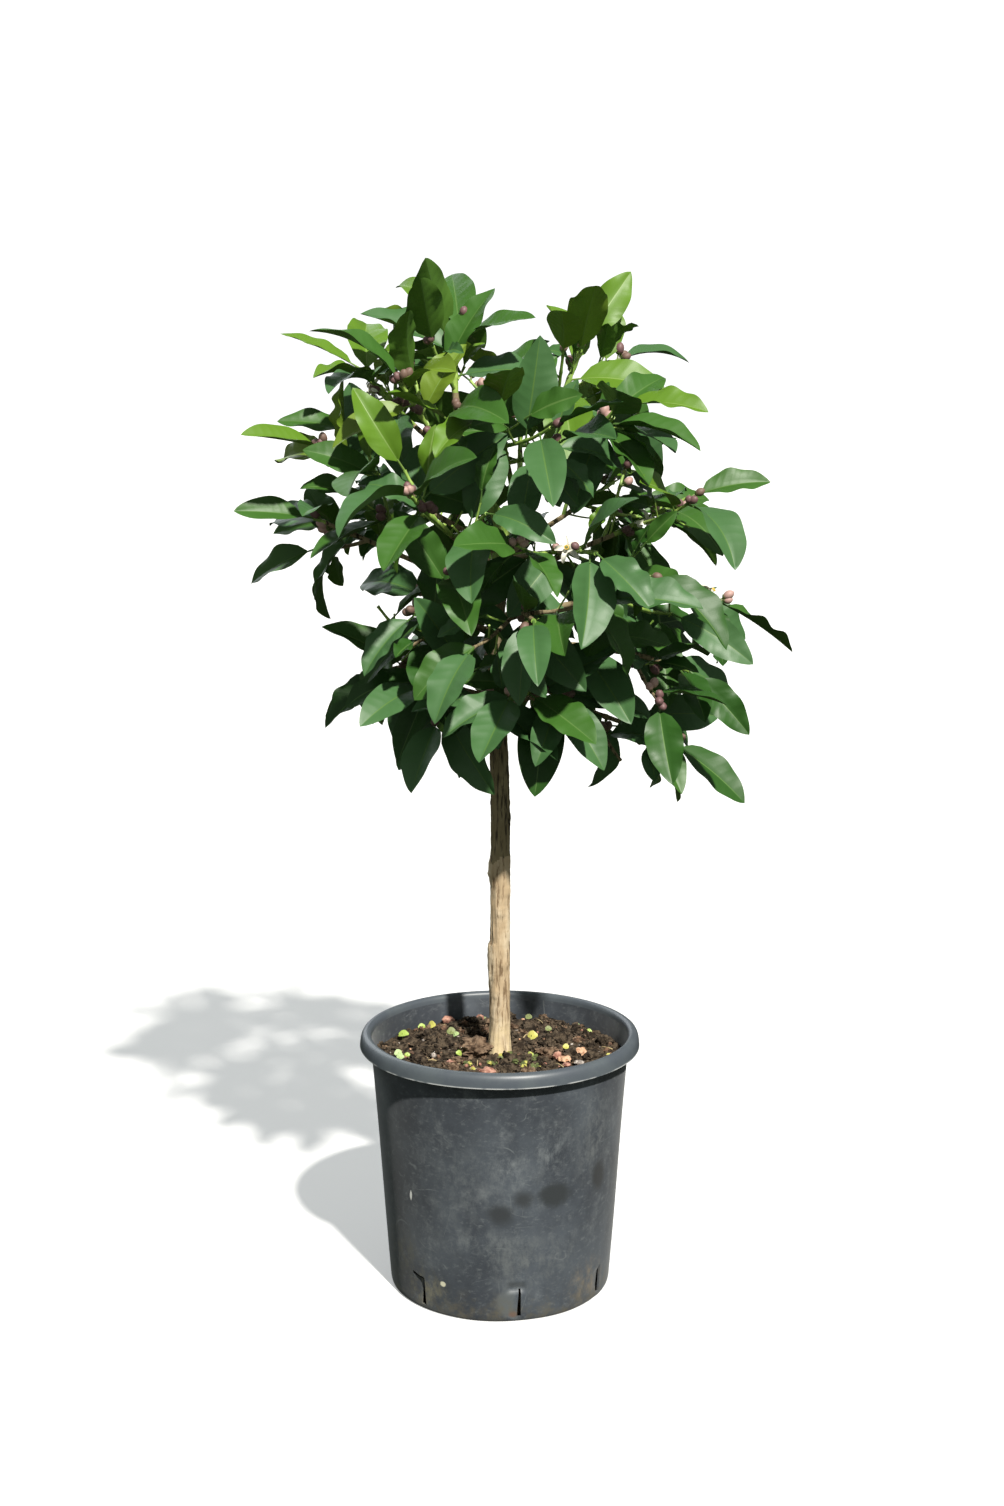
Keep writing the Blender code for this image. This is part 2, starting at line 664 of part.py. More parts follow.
def join(name, stem_skin, skins):
    """One solid from a stem and all that grows on it."""
    group = bpy.data.collections.new(name + "_parts")
    bpy.context.scene.collection.children.link(group)
    thing = add_object(name, stem_skin, "leaf")
    for number, skin in enumerate(skins):
        piece = add_object(f"{name}_{number}", skin)
        bpy.context.scene.collection.objects.unlink(piece)
        group.objects.link(piece)
    boolean = thing.modifiers.new("join", "BOOLEAN")
    boolean.operation = "UNION"
    boolean.operand_type = "COLLECTION"
    boolean.collection = group
    boolean.solver = "EXACT"
    depsgraph = bpy.context.evaluated_depsgraph_get()
    joined = bpy.data.meshes.new_from_object(thing.evaluated_get(depsgraph))
    thing.modifiers.clear()
    thing.data = joined
    for piece in list(group.objects):
        bpy.data.objects.remove(piece, do_unlink=True)
    bpy.data.collections.remove(group)
    keep_largest_body(joined)
    return thing


def keep_largest_body(mesh):
    """Drop loose scraps and the skins of sealed hollows."""
    shape = bmesh.new()
    shape.from_mesh(mesh)
    bodies, seen = [], set()
    for face in shape.faces:
        if face in seen:
            continue
        body, edge_of_search = [], [face]
        seen.add(face)
        while edge_of_search:
            current = edge_of_search.pop()
            body.append(current)
            for edge in current.edges:
                for other in edge.link_faces:
                    if other not in seen:
                        seen.add(other)
                        edge_of_search.append(other)
        bodies.append(body)
    bodies.sort(key=len)
    for body in bodies[:-1]:
        bmesh.ops.delete(shape, geom=body, context="FACES")
    bmesh.ops.dissolve_limit(shape, angle_limit=FLAT_ANGLE, verts=shape.verts, edges=shape.edges)
    bmesh.ops.triangulate(shape, faces=shape.faces)
    shape.to_mesh(mesh)
    shape.free()


def make_tree():
    """Trunk, boughs and masses of foliage."""
    trunk = trunk_skin()
    add_object("trunk", trunk, "bark", smooth=True)
    trunk_cutter = add_cutter("trunk_cutter", trunk_skin(CLEAR))
    boughs, stems = plan_limbs()
    cutters = {}
    taken = [fence(trunk)]
    for branch in LEADERS + BRANCHES:
        radii = bough_radii(branch)
        skin = tube(boughs[branch.name], radii, BOUGH_SIDES, BOUGH_STEPS)
        finish = "green_wood" if branch.parent != "trunk" or branch in LEADERS else "bark"
        bough = add_object("bough_" + branch.name, skin, finish, smooth=True)
        cut(bough, trunk_cutter)
        if branch.parent in cutters:
            cut(bough, cutters[branch.parent])
        if branch in LEADERS:
            wider = tuple(radius + CLEAR for radius in radii)
            cutters[branch.name] = add_cutter(branch.name + "_cutter",
                                              tube(boughs[branch.name], wider, BOUGH_SIDES, BOUGH_STEPS))
        taken.append(fence(skin))
    stem_skins, own = {}, {}
    for branch in LEADERS + BRANCHES:
        radii = (bough_radii(branch)[1] - CLEAR, STEM_TIP_RADIUS)
        stem_skins[branch.name] = tube(stems[branch.name], radii, STEM_SIDES, STEM_STEPS)
        own[branch.name] = fence(stem_skins[branch.name])
    taken += own.values()
    for branch in LEADERS + BRANCHES:
        skins = grow_mass(branch.seed, stems[branch.name], own[branch.name], taken)
        join("foliage_" + branch.name, stem_skins[branch.name], skins)


def main():
    clear_scene()
    make_pot()
    make_soil()
    make_tree()


if __name__ == "__main__":
    main()
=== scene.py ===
"""Looks of the potted lemon tree: leaves, twigs, bark, buds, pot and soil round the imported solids.

The crown grows by the same seeded rule as the solids, written again here, so every leaf lies where
its solid lies. Finer twigs with young leaves then fill in between them, inside each mass's own box.
"""

import json
import random
from collections import namedtuple
from math import atan2, cos, exp, hypot, pi, radians, sin, sqrt, tau

import bmesh
import bpy
import numpy as np
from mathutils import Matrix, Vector, noise
from mathutils.bvhtree import BVHTree

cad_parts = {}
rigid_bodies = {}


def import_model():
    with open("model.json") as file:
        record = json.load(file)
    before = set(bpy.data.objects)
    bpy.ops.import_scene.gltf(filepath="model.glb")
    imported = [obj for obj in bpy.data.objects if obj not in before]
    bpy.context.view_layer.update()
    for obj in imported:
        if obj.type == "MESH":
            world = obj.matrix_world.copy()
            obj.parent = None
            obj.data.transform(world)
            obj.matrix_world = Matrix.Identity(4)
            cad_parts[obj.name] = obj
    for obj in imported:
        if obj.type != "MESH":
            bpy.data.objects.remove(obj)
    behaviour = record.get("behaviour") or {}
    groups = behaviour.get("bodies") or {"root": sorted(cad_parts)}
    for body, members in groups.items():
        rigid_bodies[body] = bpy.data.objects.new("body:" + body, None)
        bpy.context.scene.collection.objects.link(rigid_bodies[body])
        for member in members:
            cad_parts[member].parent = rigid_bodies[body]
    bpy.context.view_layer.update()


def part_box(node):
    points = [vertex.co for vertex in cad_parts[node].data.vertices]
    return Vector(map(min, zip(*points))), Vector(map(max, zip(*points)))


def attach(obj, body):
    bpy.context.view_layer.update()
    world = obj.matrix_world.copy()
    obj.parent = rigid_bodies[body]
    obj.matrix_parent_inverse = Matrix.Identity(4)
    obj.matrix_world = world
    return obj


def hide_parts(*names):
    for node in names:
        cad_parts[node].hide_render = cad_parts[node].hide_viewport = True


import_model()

UP = Vector((0.0, 0.0, 1.0))
BACK = Vector((0.0, 1.0, 0.0))
BODY = "root"
EVEN = (1.0, 1.0, 1.0)
WHITE = (1.0, 1.0, 1.0)
# Every finish of the part by its name, as the materials are made
FINISHES = {}

# Camera: the photograph's own place, pitch and lens
CAMERA_PLACE = (0.0022, -1.935, 0.887)
CAMERA_PITCH = radians(10.1)
CAMERA_LENS = 48.0
CAMERA_SENSOR = 36.0

# Growth rule of the solids, written again with the same sizes
CLEAR = 0.0003
NEARLY_UPRIGHT = 0.05
SOIL_LEVEL = 0.238
TRUNK_BASE = SOIL_LEVEL + CLEAR
TRUNK_TOP = 0.775
TRUNK_FOOT_RADIUS = 0.0096
TRUNK_TOP_RADIUS = 0.0068
TRUNK_TAPER_POWER = 2.2
TRUNK_SIDES = 10
TRUNK_STEP = 0.045
TRUNK_STEP_LEAST = 0.018
FLARE = 0.0022
FLARE_HEIGHT = 0.014
FLARE_RINGS = (0.0, 0.5, 2.0)
# Swellings on the trunk's left, the graft and an old scar: height, how far out, and spread
SWELLINGS = ((0.427, 0.0026, 0.011), (0.330, 0.0018, 0.024))
SWELLING_RINGS = (-1.6, -0.7, 0.0, 0.7, 1.6)
SWAY = 0.0055
SWAY_HEIGHT = 0.64
SWAY_SPREAD = 0.10
FORK_OFFSET = 0.0022

BOUGH_SHARE = 0.46
LEADER_SHARE = 0.60
BOUGH_SIDES = 5
BOUGH_STEPS = 3
BOUGH_ROOT_RADIUS = 0.0036
BOUGH_END_RADIUS = 0.0025
LEADER_ROOT_RADIUS = 0.0052
LEADER_END_RADIUS = 0.0034
STEM_SIDES = 4
STEM_STEPS = 3
STEM_TIP_RADIUS = 0.0018
SHOOT_SIDES = 3
SHOOT_STEPS = 2
SHOOT_CORE_RADII = (0.0021, 0.0017)
SHOOT_PLACES = (0.16, 0.46)
SHOOT_LENGTH = (0.052, 0.082)
SHOOT_ANGLE = radians(52.0)
SHOOT_LIFT = 0.35
SHOOT_TURN_AGAIN = (0.6, 1.8)
GOLDEN_ANGLE = radians(137.5)

STEM_LEAF_PLACES = (0.32, 0.60, 0.75, 0.89, 1.0)
SHOOT_LEAF_PLACES = (0.45, 0.76, 1.0)
LEAF_ANGLE_LOW = radians(64.0)
LEAF_ANGLE_HIGH = radians(38.0)
LEAF_ANGLE_LAST = radians(12.0)
LEAF_LENGTH = (0.065, 0.092)
LEAF_SLENDER = (0.42, 0.54)
LEAF_ARCH = (radians(8.0), radians(60.0))
LEAF_FOLD = (radians(10.0), radians(24.0))
LEAF_ROLL = radians(28.0)
LEAF_FACES_UP = 0.75
LEAF_FACES_OUT = 0.30
LEAF_FACES_FRONT = (0.66, 0.26)
LEAF_WIDEST = 0.44
LEAF_TAPER = 0.95
LEAF_THICKNESS = 0.0013
LEAF_STATIONS = (0.36, 0.74)
LEAF_TURN_AGAIN = 0.5
STALK_LENGTH = 0.011
STALK_WIDTH = 0.0026
ROOT_HALF = 0.0006
LEAF_DROOP = (0.80, 0.12)
LEAF_DROOP_SPREAD = (0.15, 1.30)
LEAF_HEIGHTS = (0.56, 0.94)
TRIES = 4

BUD_LENGTH = 0.013
BUD_RADIUS = 0.0038
BUD_STALK = 0.007
BUD_SIDES = 3
BUD_NECK = 0.0011
BUD_WIDEST = 0.45
BUD_PLACES = (0.50, 0.97)
BUD_GUARD_START = 0.0056

GUARD = 0.0010
SHOOT_GUARD_START = 0.22
LEAF_GUARD_START = 0.006
CROWN_LOW = Vector((-0.268, -0.250, 0.480))
CROWN_HIGH = Vector((0.297, 0.240, 1.014))

# Boughs: name, parent, where on the parent they start, tip, how far the middle bows out, and seed
Branch = namedtuple("Branch", "name parent start tip bow seed")
LEADERS = tuple(Branch(*row) for row in (
    ("top_left", "trunk", 0.768, (-0.036, -0.010, 0.955), (-0.042, 0.0, 0.0), 2694),
    ("top_right", "trunk", 0.742, (0.079, 0.010, 0.934), (0.0, 0.0, -0.008), 1757),
))
BRANCHES = tuple(Branch(*row) for row in (
    ("far_left", "trunk", 0.690, (-0.177, -0.015, 0.772), (0.0, 0.0, 0.006), 292),
    ("right", "trunk", 0.712, (0.182, -0.010, 0.792), (0.0, 0.0, -0.008), 27),
    ("right_mid", "trunk", 0.672, (0.212, 0.015, 0.690), (0.0, 0.0, 0.022), 455),
    ("low_right", "trunk", 0.602, (0.165, -0.015, 0.556), (0.0, 0.0, 0.016), 79),
    ("low_far_left", "trunk", 0.622, (-0.118, 0.035, 0.618), (0.0, 0.0, 0.014), 365),
    ("upper_left", "top_left", 0.34, (-0.133, 0.020, 0.912), (0.0, 0.0, -0.010), 482),
    ("upper_right", "top_right", 0.50, (0.110, -0.060, 0.876), (0.0, 0.0, 0.0), 112),
    ("left", "trunk", 0.738, (-0.162, -0.045, 0.838), (0.0, 0.0, 0.0), 64),
    ("bottom_left", "trunk", 0.592, (-0.070, -0.070, 0.619), (0.0, 0.0, 0.010), 7),
    ("bottom_right", "trunk", 0.612, (0.056, -0.095, 0.611), (0.0, 0.0, 0.014), 237),
    ("bottom_front", "trunk", 0.574, (-0.010, -0.088, 0.605), (0.0, 0.0, 0.008), 286),
    ("right_low", "trunk", 0.648, (0.177, -0.080, 0.634), (0.0, 0.0, 0.022), 619),
    ("upper_left_front", "top_left", 0.20, (-0.088, -0.090, 0.896), (0.0, 0.0, -0.015), 40),
    ("low_left", "trunk", 0.658, (-0.077, -0.085, 0.688), (0.0, 0.0, 0.010), 138),
    ("front_left", "trunk", 0.722, (-0.078, -0.160, 0.800), (0.0, 0.0, -0.010), 189),
    ("front_right", "trunk", 0.728, (0.085, -0.160, 0.750), (0.0, 0.0, 0.010), 165),
    ("front_centre", "trunk", 0.668, (0.030, -0.180, 0.692), (0.0, 0.0, 0.020), 600),
    ("upper_front", "top_right", 0.34, (0.000, -0.130, 0.874), (0.0, 0.0, -0.010), 428),
    ("upper_back", "top_right", 0.42, (0.020, 0.120, 0.890), (0.0, 0.0, -0.010), 571),
    ("back_left", "trunk", 0.718, (-0.105, 0.130, 0.790), (0.0, 0.0, 0.0), 165),
    ("back_right", "trunk", 0.732, (0.115, 0.120, 0.800), (0.0, 0.0, 0.0), 369),
    ("back", "trunk", 0.680, (0.000, 0.175, 0.730), (0.0, 0.0, 0.010), 510),
    ("low_back_left", "trunk", 0.634, (-0.060, 0.125, 0.625), (0.0, 0.0, 0.016), 257),
    ("low_back_right", "trunk", 0.624, (0.070, 0.125, 0.612), (0.0, 0.0, 0.016), 333),
))

Curve = namedtuple("Curve", "start middle end")
Skin = namedtuple("Skin", "points faces")
Fence = namedtuple("Fence", "tree low high")
Leaf = namedtuple("Leaf", "root heading normal length width arch fold")
Mass = namedtuple("Mass", "branch bough limbs leaves buds")

# Looks: leaf blades. Tints are dealt by spray, and each has its own slots. The tints are partly painted
# light: the bright and young tints on sunny sprays stand in for sunlight and light shining through the
# leaves, the deep ones for shade.
SHARP_ANGLE = radians(50.0)
BLADE_COLUMNS = (-1.0, -0.80, -0.55, -0.28, -0.032, 0.032, 0.28, 0.55, 0.80, 1.0)
SMALL_COLUMNS = (-1.0, -0.60, -0.07, 0.07, 0.60, 1.0)
BLADE_ROWS = 24
SMALL_ROWS = 12
BLADE_END = 0.985
BLADE_TAPER = 0.84
VEIN_ROWS = 3
VEIN_SKEW = 0.20
VEIN_SKEW_POWER = 1.2
VEIN_SKEW_START = 0.12
VEIN_BULGE = 0.4
VEIN_DEPTH = 0.00040
RIB_EDGE = 0.07
RIB_RELIEF = 0.0005
RIB_ABOVE = 0.3
RIB_BAND = RIB_EDGE * 1.5
FOLD_NEAR = 1.75
FOLD_EDGE = 1.30
LEAF_SHEET = 0.0005
SHEET_LEAST = 0.4
STALK_RADIUS = 0.0009
STALK_OVERLAP = 1.12
STALK_TAPER = (1.25, 0.90)
LEAF_ROUGHNESS = 0.49
LEAF_SPECULAR = 0.42
LEAF_GRAIN = (900.0, 0.16, 0.0004)
LEAF_WAVES = (1.5, 3.6)
LEAF_WAVE = (0.0009, 0.0034)
LEAF_SWAY = 0.060
LEAF_TWIST = radians(34.0)
LEAF_TINTS = {
    "leaf_deep": (0.020, 0.074, 0.008),
    "leaf_mid": (0.034, 0.104, 0.012),
    "leaf_blue": (0.045, 0.117, 0.035),
    "leaf_bright": (0.084, 0.176, 0.010),
    "leaf_young_and_lit": (0.118, 0.192, 0.015),
    # The underside tints are partly painted light: a saturated yellow-green for light shining through the
    # leaves
    "under_dull": (0.060, 0.138, 0.016),
    "under_bright": (0.130, 0.222, 0.018),
    "rib_dull": (0.070, 0.145, 0.030),
    "rib_bright": (0.150, 0.240, 0.050),
}
Tint = namedtuple("Tint", "upper under rib")
DEEP, MID, BLUE = Tint(0, 5, 7), Tint(1, 5, 7), Tint(2, 5, 7)
# Bright and young tints go to sunny sprays: partly young leaves' own colour, partly painted light
BRIGHT, YOUNG_AND_LIT = Tint(3, 6, 8), Tint(4, 6, 8)
# How much sun a spray has, by its height, its reach from the middle, and chance
SUN_LOW = 0.55
SUN_HEIGHT = 0.42
SUN_REACH = 0.24
SUN_HIGH_SHARE = 0.70
SUN_OUT_SHARE = 0.18
SUN_CHANCE = 0.28
# Above how much sun, the chance of a first tint, that tint, and the other one
TINTS_BY_SUN = ((0.79, 0.42, YOUNG_AND_LIT, BRIGHT), (0.62, 0.42, BRIGHT, MID), (0.26, 0.50, MID, BLUE),
                (-1.0, 0.55, DEEP, BLUE))
NEW_TINT_CHANCE = 0.45
SAME_TINT_CHANCE = 0.5
BladeShape = namedtuple("BladeShape", "waves phase wave sway twist")

# Finer twigs with young leaves
FINE_SEED = 7000
FINE_PLACES = (0.22, 0.44, 0.66)
FINE_LENGTH = (0.016, 0.032)
FINE_RADII = (0.0011, 0.0008)
FINE_ANGLE = radians(50.0)
FINE_LIFT = 0.25
FINE_LEAF_LENGTH = (0.030, 0.056)
FINE_LEAF_PLACES = (0.55, 1.0)
FINE_LEAF_SPREAD = 1.2
FINE_INSET = 0.008
# Share of the twigs that stay bare: low, below the height, and above it
FINE_BARE_HEIGHT = 0.72
FINE_BARE_LOW = 0.70
FINE_BARE = 0.20

# Limbs: twigs, boughs and the trunk's bark. A mesh has its sides and its steps along the limb.
STALK_MESH = (6, 3)
STEM_MESH = (10, 34)
SHOOT_MESH = (8, 20)
FINE_MESH = (6, 8)
STEM_JITTER = 0.0012
SHOOT_JITTER = 0.0008
BOUGH_JITTER = 0.0009
BOUGH_ROUND = 14
BOUGH_RING = 0.003
BOUGH_RINGS_LEAST = 8
LIMB_NOISE_SCALE = 30.0
LIMB_GRAIN_SCALE = 420.0
# Blender takes the offsets of vector noise from the clock unless a seed is set
LIMB_SEED = 5
LIMB_ROUGH = 0.16
STEM_END_RADIUS = 0.0019
SHOOT_RADII = (0.0021, 0.0014)
NODE_SWELL = 0.30
NODE_SPREAD = 0.022
COLLAR = 0.6
COLLAR_SPREAD = 0.007
OLD_WOOD_HEIGHT = 0.70
# Share of a stem that is brown, on old wood and on young
BROWNED_OLD = (0.45, 1.0)
BROWNED_YOUNG = (0.0, 0.4)
BROWN_SHOOT_CHANCE = 0.6
TRUNK_RING = 0.0016
TRUNK_ROUND = 56
TRUNK_SUNK = 0.006
TRUNK_GREEN_HEIGHT = 0.725
# Above this height the trunk takes the dark bark: painted shade of the crown over the upper trunk
TRUNK_PAINTED_SHADE_HEIGHT = 0.437
TRUNK_BLEND = 0.010
TRUNK_BLEND_SCALES = (200.0, 200.0, 25.0)
DOME_START = 0.006
DOME_HEIGHT = 0.0075
DOME_LEAST = 0.02
GREEN_BARK_SHARE = 0.15
BARK_RELIEF = 0.00062
BARK_FINE = 0.00022
BARK_RING = 0.00026
# Scales of the bark's noise along each axis: ridges, fine grain and rings
BARK_SCALES = ((290.0, 290.0, 30.0), (760.0, 760.0, 120.0), (70.0, 70.0, 430.0))
KNOT_SEED = 12
KNOTS = 11
KNOT_HEIGHTS = (0.455, 0.715)
# Ledges on the left where bark has grown over a scar: the top's height, and how far the ledge fades down
LEDGES = ((0.352, 0.050), (0.424, 0.012))
LEDGE_OUT = 0.0016
LEDGE_FALL = 0.003
# Swellings of the lower stem: height, and turn about it from the right
STEM_KNOTS = ((0.384, 4.60), (0.330, 5.20), (0.404, 5.60), (0.300, 4.30))
STEM_KNOT_SIZE = 0.0042
KNOT_SIZE = (0.0022, 0.0040)
KNOT_RISE = 0.0016
KNOT_SQUAT = 0.6
KNOT_REACH = 2.0
KNOT_FALL = 1.6
KNOT_HOLLOW = 0.35
KNOT_HOLLOW_FALL = 9.0

# A noise has its scale, stretch, detail and roughness. A pattern also has the values that make 0 and 1.
BARK_ROUGHNESS = 0.85
BARK_SPECULAR = 0.3
# Colours of the cracks, the ridges and the pale dust
BARKS = {
    "bark_tan": ((0.165, 0.108, 0.058), (0.395, 0.295, 0.182), (0.545, 0.450, 0.315)),
    # The dark bark is darker brown wood on boughs and twigs, and on the upper trunk it is also painted shade
    # of the crown
    "bark_dark_and_shade": ((0.046, 0.034, 0.017), (0.205, 0.160, 0.086), (0.275, 0.225, 0.130)),
}
BARK_FISSURES = (330.0, (1.0, 1.0, 0.10), 8.0, 0.66)
BARK_FISSURE_RANGE = (0.38, 0.50)
BARK_PATCHES = (60.0, (1.0, 1.0, 0.4), 5.0, 0.55, 0.40, 0.66)
BARK_CRAZING = (260.0, (1.0, 1.0, 0.7), 6.0, 0.7, 0.46, 0.36)
BARK_FOOT = (0.560, 0.450, 0.270)
BARK_FOOT_NOISE = (90.0, (1.0, 1.0, 0.5), 5.0, 0.6, 0.30, 0.56)
BARK_FOOT_HEIGHTS = (TRUNK_BASE + 0.042, TRUNK_BASE + 0.012)
BARK_BUMP = (0.7, 0.0012)
MOTTLE_RANGE = (0.38, 0.62)
# Mottled finishes: two colours, the noise's scale and stretch, roughness, grain, and specular level.
# A grain has the scale of its noise, and the strength and distance of its relief.
PEBBLE_GRAIN = (900.0, 0.4, 0.0005)
CLOD_GRAIN = (700.0, 0.9, 0.0014)
MOTTLED = {
    "green_wood": ((0.150, 0.270, 0.045), (0.300, 0.430, 0.090), 160.0, (1.0, 1.0, 0.2), 0.5,
                   (500.0, 0.2, 0.0005), 0.5),
    "soil_crumb": ((0.020, 0.013, 0.008), (0.080, 0.058, 0.038), 190.0, EVEN, 0.95, (600.0, 0.8, 0.001), 0.2),
    "soil_clod": ((0.012, 0.008, 0.005), (0.090, 0.067, 0.045), 150.0, EVEN, 0.95, CLOD_GRAIN, 0.2),
    "soil_clod_brown": ((0.060, 0.036, 0.022), (0.190, 0.130, 0.085), 190.0, EVEN, 0.95, CLOD_GRAIN, 0.2),
    "pebble_red": ((0.22, 0.090, 0.062), (0.44, 0.24, 0.175), 240.0, EVEN, 0.8, PEBBLE_GRAIN, 0.5),
    "pebble_tan": ((0.42, 0.22, 0.12), (0.62, 0.40, 0.26), 240.0, EVEN, 0.8, PEBBLE_GRAIN, 0.5),
    "pebble_grey": ((0.20, 0.17, 0.15), (0.46, 0.41, 0.36), 300.0, EVEN, 0.8, PEBBLE_GRAIN, 0.5),
    "bark_chip": ((0.06, 0.03, 0.018), (0.16, 0.09, 0.05), 260.0, (1.0, 1.0, 0.3), 0.9,
                  (800.0, 0.6, 0.0008), 0.5),
}

# Buds, blossom and fruitlets. A profile has distances and radii, or shares of a length and a radius.
BUD_PROFILE = ((0.0, 0.0), (0.04, 0.42), (0.18, 0.80), (0.38, 1.0), (0.58, 0.98), (0.78, 0.78),
               (0.92, 0.42), (1.0, 0.0))
BUD_CUP = ((-0.0008, 0.0), (-0.0004, 0.45), (0.0012, 0.80), (0.0016, 0.0))
BUD_ROUND = 12
BUD_PLUMP = 0.58
BUD_PLUMP_BY_SIZE = 0.62
BUD_SIZES = (0.75, 1.00)
BUD_LEAN = (0.35, 0.75)
BUD_RIBS = 0.05
RIB_COUNT = 5.0
BUD_SLOTS = (0, 0, 1, 2)
CALYX_SLOT = 3
CLUSTER_COUNTS = (2, 3, 3)
SMALL_CLUSTER_COUNTS = (1, 2, 2)
AXIL_BUD_CHANCE = 0.36
AXIL_BUD_LEAN = 0.6
AXIL_BUD_SIZES = (0.65, 1.0)
TIP_BUD_CHANCE = 0.45
TIP_BUD_SIZE = 0.75
BUD_SEED = 31
FRUIT_PROFILE = ((0.0, 0.0), (0.03, 0.30), (0.14, 0.66), (0.32, 0.93), (0.52, 1.0), (0.72, 0.90),
                 (0.88, 0.60), (0.96, 0.26), (1.04, 0.14), (1.06, 0.0))
FRUIT_STALK = ((-0.0004, 0.0), (0.0, 0.0010), (0.006, 0.0011), (0.0064, 0.0024), (0.0078, 0.0026),
               (0.0080, 0.0))
FRUIT_START = 0.0072
FRUIT_RIBS = 0.012
PURPLE_FRUIT_RADIUS = 0.007
# Fruitlets: the mass, the share of its stem, and the radius
FRUITS = (("low_right", 0.10, 0.0055), ("low_right", 0.32, 0.0052), ("low_right", 0.52, 0.0058),
          ("right_low", 0.42, 0.0078), ("low_far_left", 0.30, 0.0050))
BLOSSOMS = ("right", "upper_left", "front_right", "back", "right_mid")
PETALS = 5
PETAL_LENGTH = 0.0125
PETAL_WIDTH = 0.0052
PETAL_THICKNESS = 0.0004
PETAL_ROWS = 9
PETAL_COLUMNS = 5
# Degrees off the flower's heading at a petal's root, and how much more at its tip
PETAL_BEND = (25.0, 80.0)
PETAL_CUP = 0.0012
PETAL_FOOT = 0.35
PETAL_TIP = 0.35
PETAL_OUT = 0.0012
FLOWER_HEIGHT = BUD_STALK + 0.0018
FLOWER_STALK = ((-0.0004, 0.0), (0.0, 0.0009), (BUD_STALK, 0.0010), (BUD_STALK + 0.0012, 0.0026),
                (BUD_STALK + 0.0022, 0.0024), (BUD_STALK + 0.0024, 0.0))
PISTIL = ((0.0, 0.0), (0.0003, 0.0014), (0.0024, 0.0012), (0.0032, 0.0005), (0.0068, 0.0005),
          (0.0072, 0.0011), (0.0082, 0.0))
ANTHERS = 14
ANTHER_LEAN = 0.28
ANTHER_DISTANCE = 0.0054
ANTHER = ((0.0, 0.0), (0.0003, 0.0006), (0.0017, 0.0005), (0.0020, 0.0))
FILAMENT = ((0.0, 0.0), (0.0004, 0.0003), (0.0055, 0.0003), (0.0056, 0.0))
BLOSSOM_BUD_TURNS = (0.6, 3.4)
BLOSSOM_BUD_LEAN = 0.9
BLOSSOM_BUD_START = 0.001
# Shares of a bud's length and radius
BLOSSOM_BUD_SIZE = (0.72, 0.8)
# Small finishes: a colour and a roughness
SMALL_GRAIN = (700.0, 0.15, 0.0004)
SMALL_FINISHES = {
    "bud_purple": ((0.145, 0.075, 0.075), 0.55),
    "bud_pink": ((0.400, 0.250, 0.220), 0.55),
    "bud_brown": ((0.150, 0.092, 0.070), 0.60),
    "calyx": ((0.150, 0.200, 0.060), 0.55),
    "petal": ((0.800, 0.780, 0.680), 0.45),
    "anther": ((0.720, 0.480, 0.090), 0.60),
    "fruitlet": ((0.120, 0.075, 0.050), 0.50),
    "fruitlet_purple": ((0.150, 0.095, 0.130), 0.45),
    "sprout": ((0.300, 0.400, 0.080), 0.50),
    "sprout_dull": ((0.170, 0.200, 0.070), 0.60),
    "sprout_yellow": ((0.420, 0.400, 0.090), 0.55),
    "sprout_pale": ((0.340, 0.440, 0.190), 0.60),
    "moss": ((0.085, 0.105, 0.030), 0.85),
    "straw": ((0.420, 0.330, 0.170), 0.80),
}

# Pot: the solid's sizes, with a rolled lip and thin slots
POT_HEIGHT = 0.261
POT_FOOT_RADIUS = 0.111
POT_TOP_RADIUS = 0.130
POT_WALL = 0.002
POT_ROUND = 360
POT_FLOOR_RINGS = (0.0, 0.05, 0.09)
POT_SHARP_ANGLE = radians(38.0)
# The lip's section from the wall: out under the roll, round its sharp lower edge, and over its crest
LIP_SECTION = ((0.1340, 0.2535), (0.1372, 0.2530), (0.1380, 0.2510), (0.1386, 0.2472), (0.1393, 0.2465),
               (0.1400, 0.2471), (0.1399, 0.2484), (0.1396, 0.2512), (0.1392, 0.2540), (0.1385, 0.2566),
               (0.1373, 0.2588), (0.1357, 0.2602), (0.1338, 0.2609), (0.1319, 0.2608), (0.1302, 0.2600),
               (0.1291, 0.2587), (0.1285, 0.2568), (0.1284, 0.2540))
FOOT_ROUND = 0.0035
FOOT_STEPS = 6
FINE_WALL_TOP = 0.046
FINE_WALL_STEPS = 24
WALL_STEPS = 26
POT_DENT = 0.0007
POT_DENT_SCALES = (2.2, 2.2, 9.0)
SLOT_COUNT = 7
SLOT_TURN = radians(10.0)
# Widths at a slot's top and foot, and the shares of the foot on its two sides
SLOT_WIDTHS = (0.0019, 0.0042)
SLOT_FOOT_SIDES = (-0.7, 0.3)
SLOT_GAPES = {1: 1.3, 6: 1.6}
SLOT_LOW = 0.0055
SLOT_HIGH = 0.034
SLOT_ARM = 0.015
SLOT_ARM_HEIGHT = 0.0026
SLOT_ARM_RISE = 0.0045
SLOT_ARM_TAPER = 0.0006
SLOT_CUT_INNER = 0.098
SLOT_CUT_OUTER = 0.125
# How deep each flap beside a slot is pressed in, from the front one round to the right
FLAP_DEPTHS = (0.0006, 0.0020, 0.0026, 0.0016, 0.0024, 0.0014, 0.0034)
# A crease pressed in over some slots; its heights are its top, its deepest line and its bottom
CREASED_SLOTS = (0, 3)
CREASE_DEPTH = 0.0034
CREASE_ASIDE = 0.35
CREASE_EDGE = 3.0
CREASE_WIDTH = 0.0105
CREASE_HEIGHTS = (0.0425, 0.0345, 0.0295)
ARMED_SLOTS = (2, 4, 6)
FLAP_SLOPE = 0.20
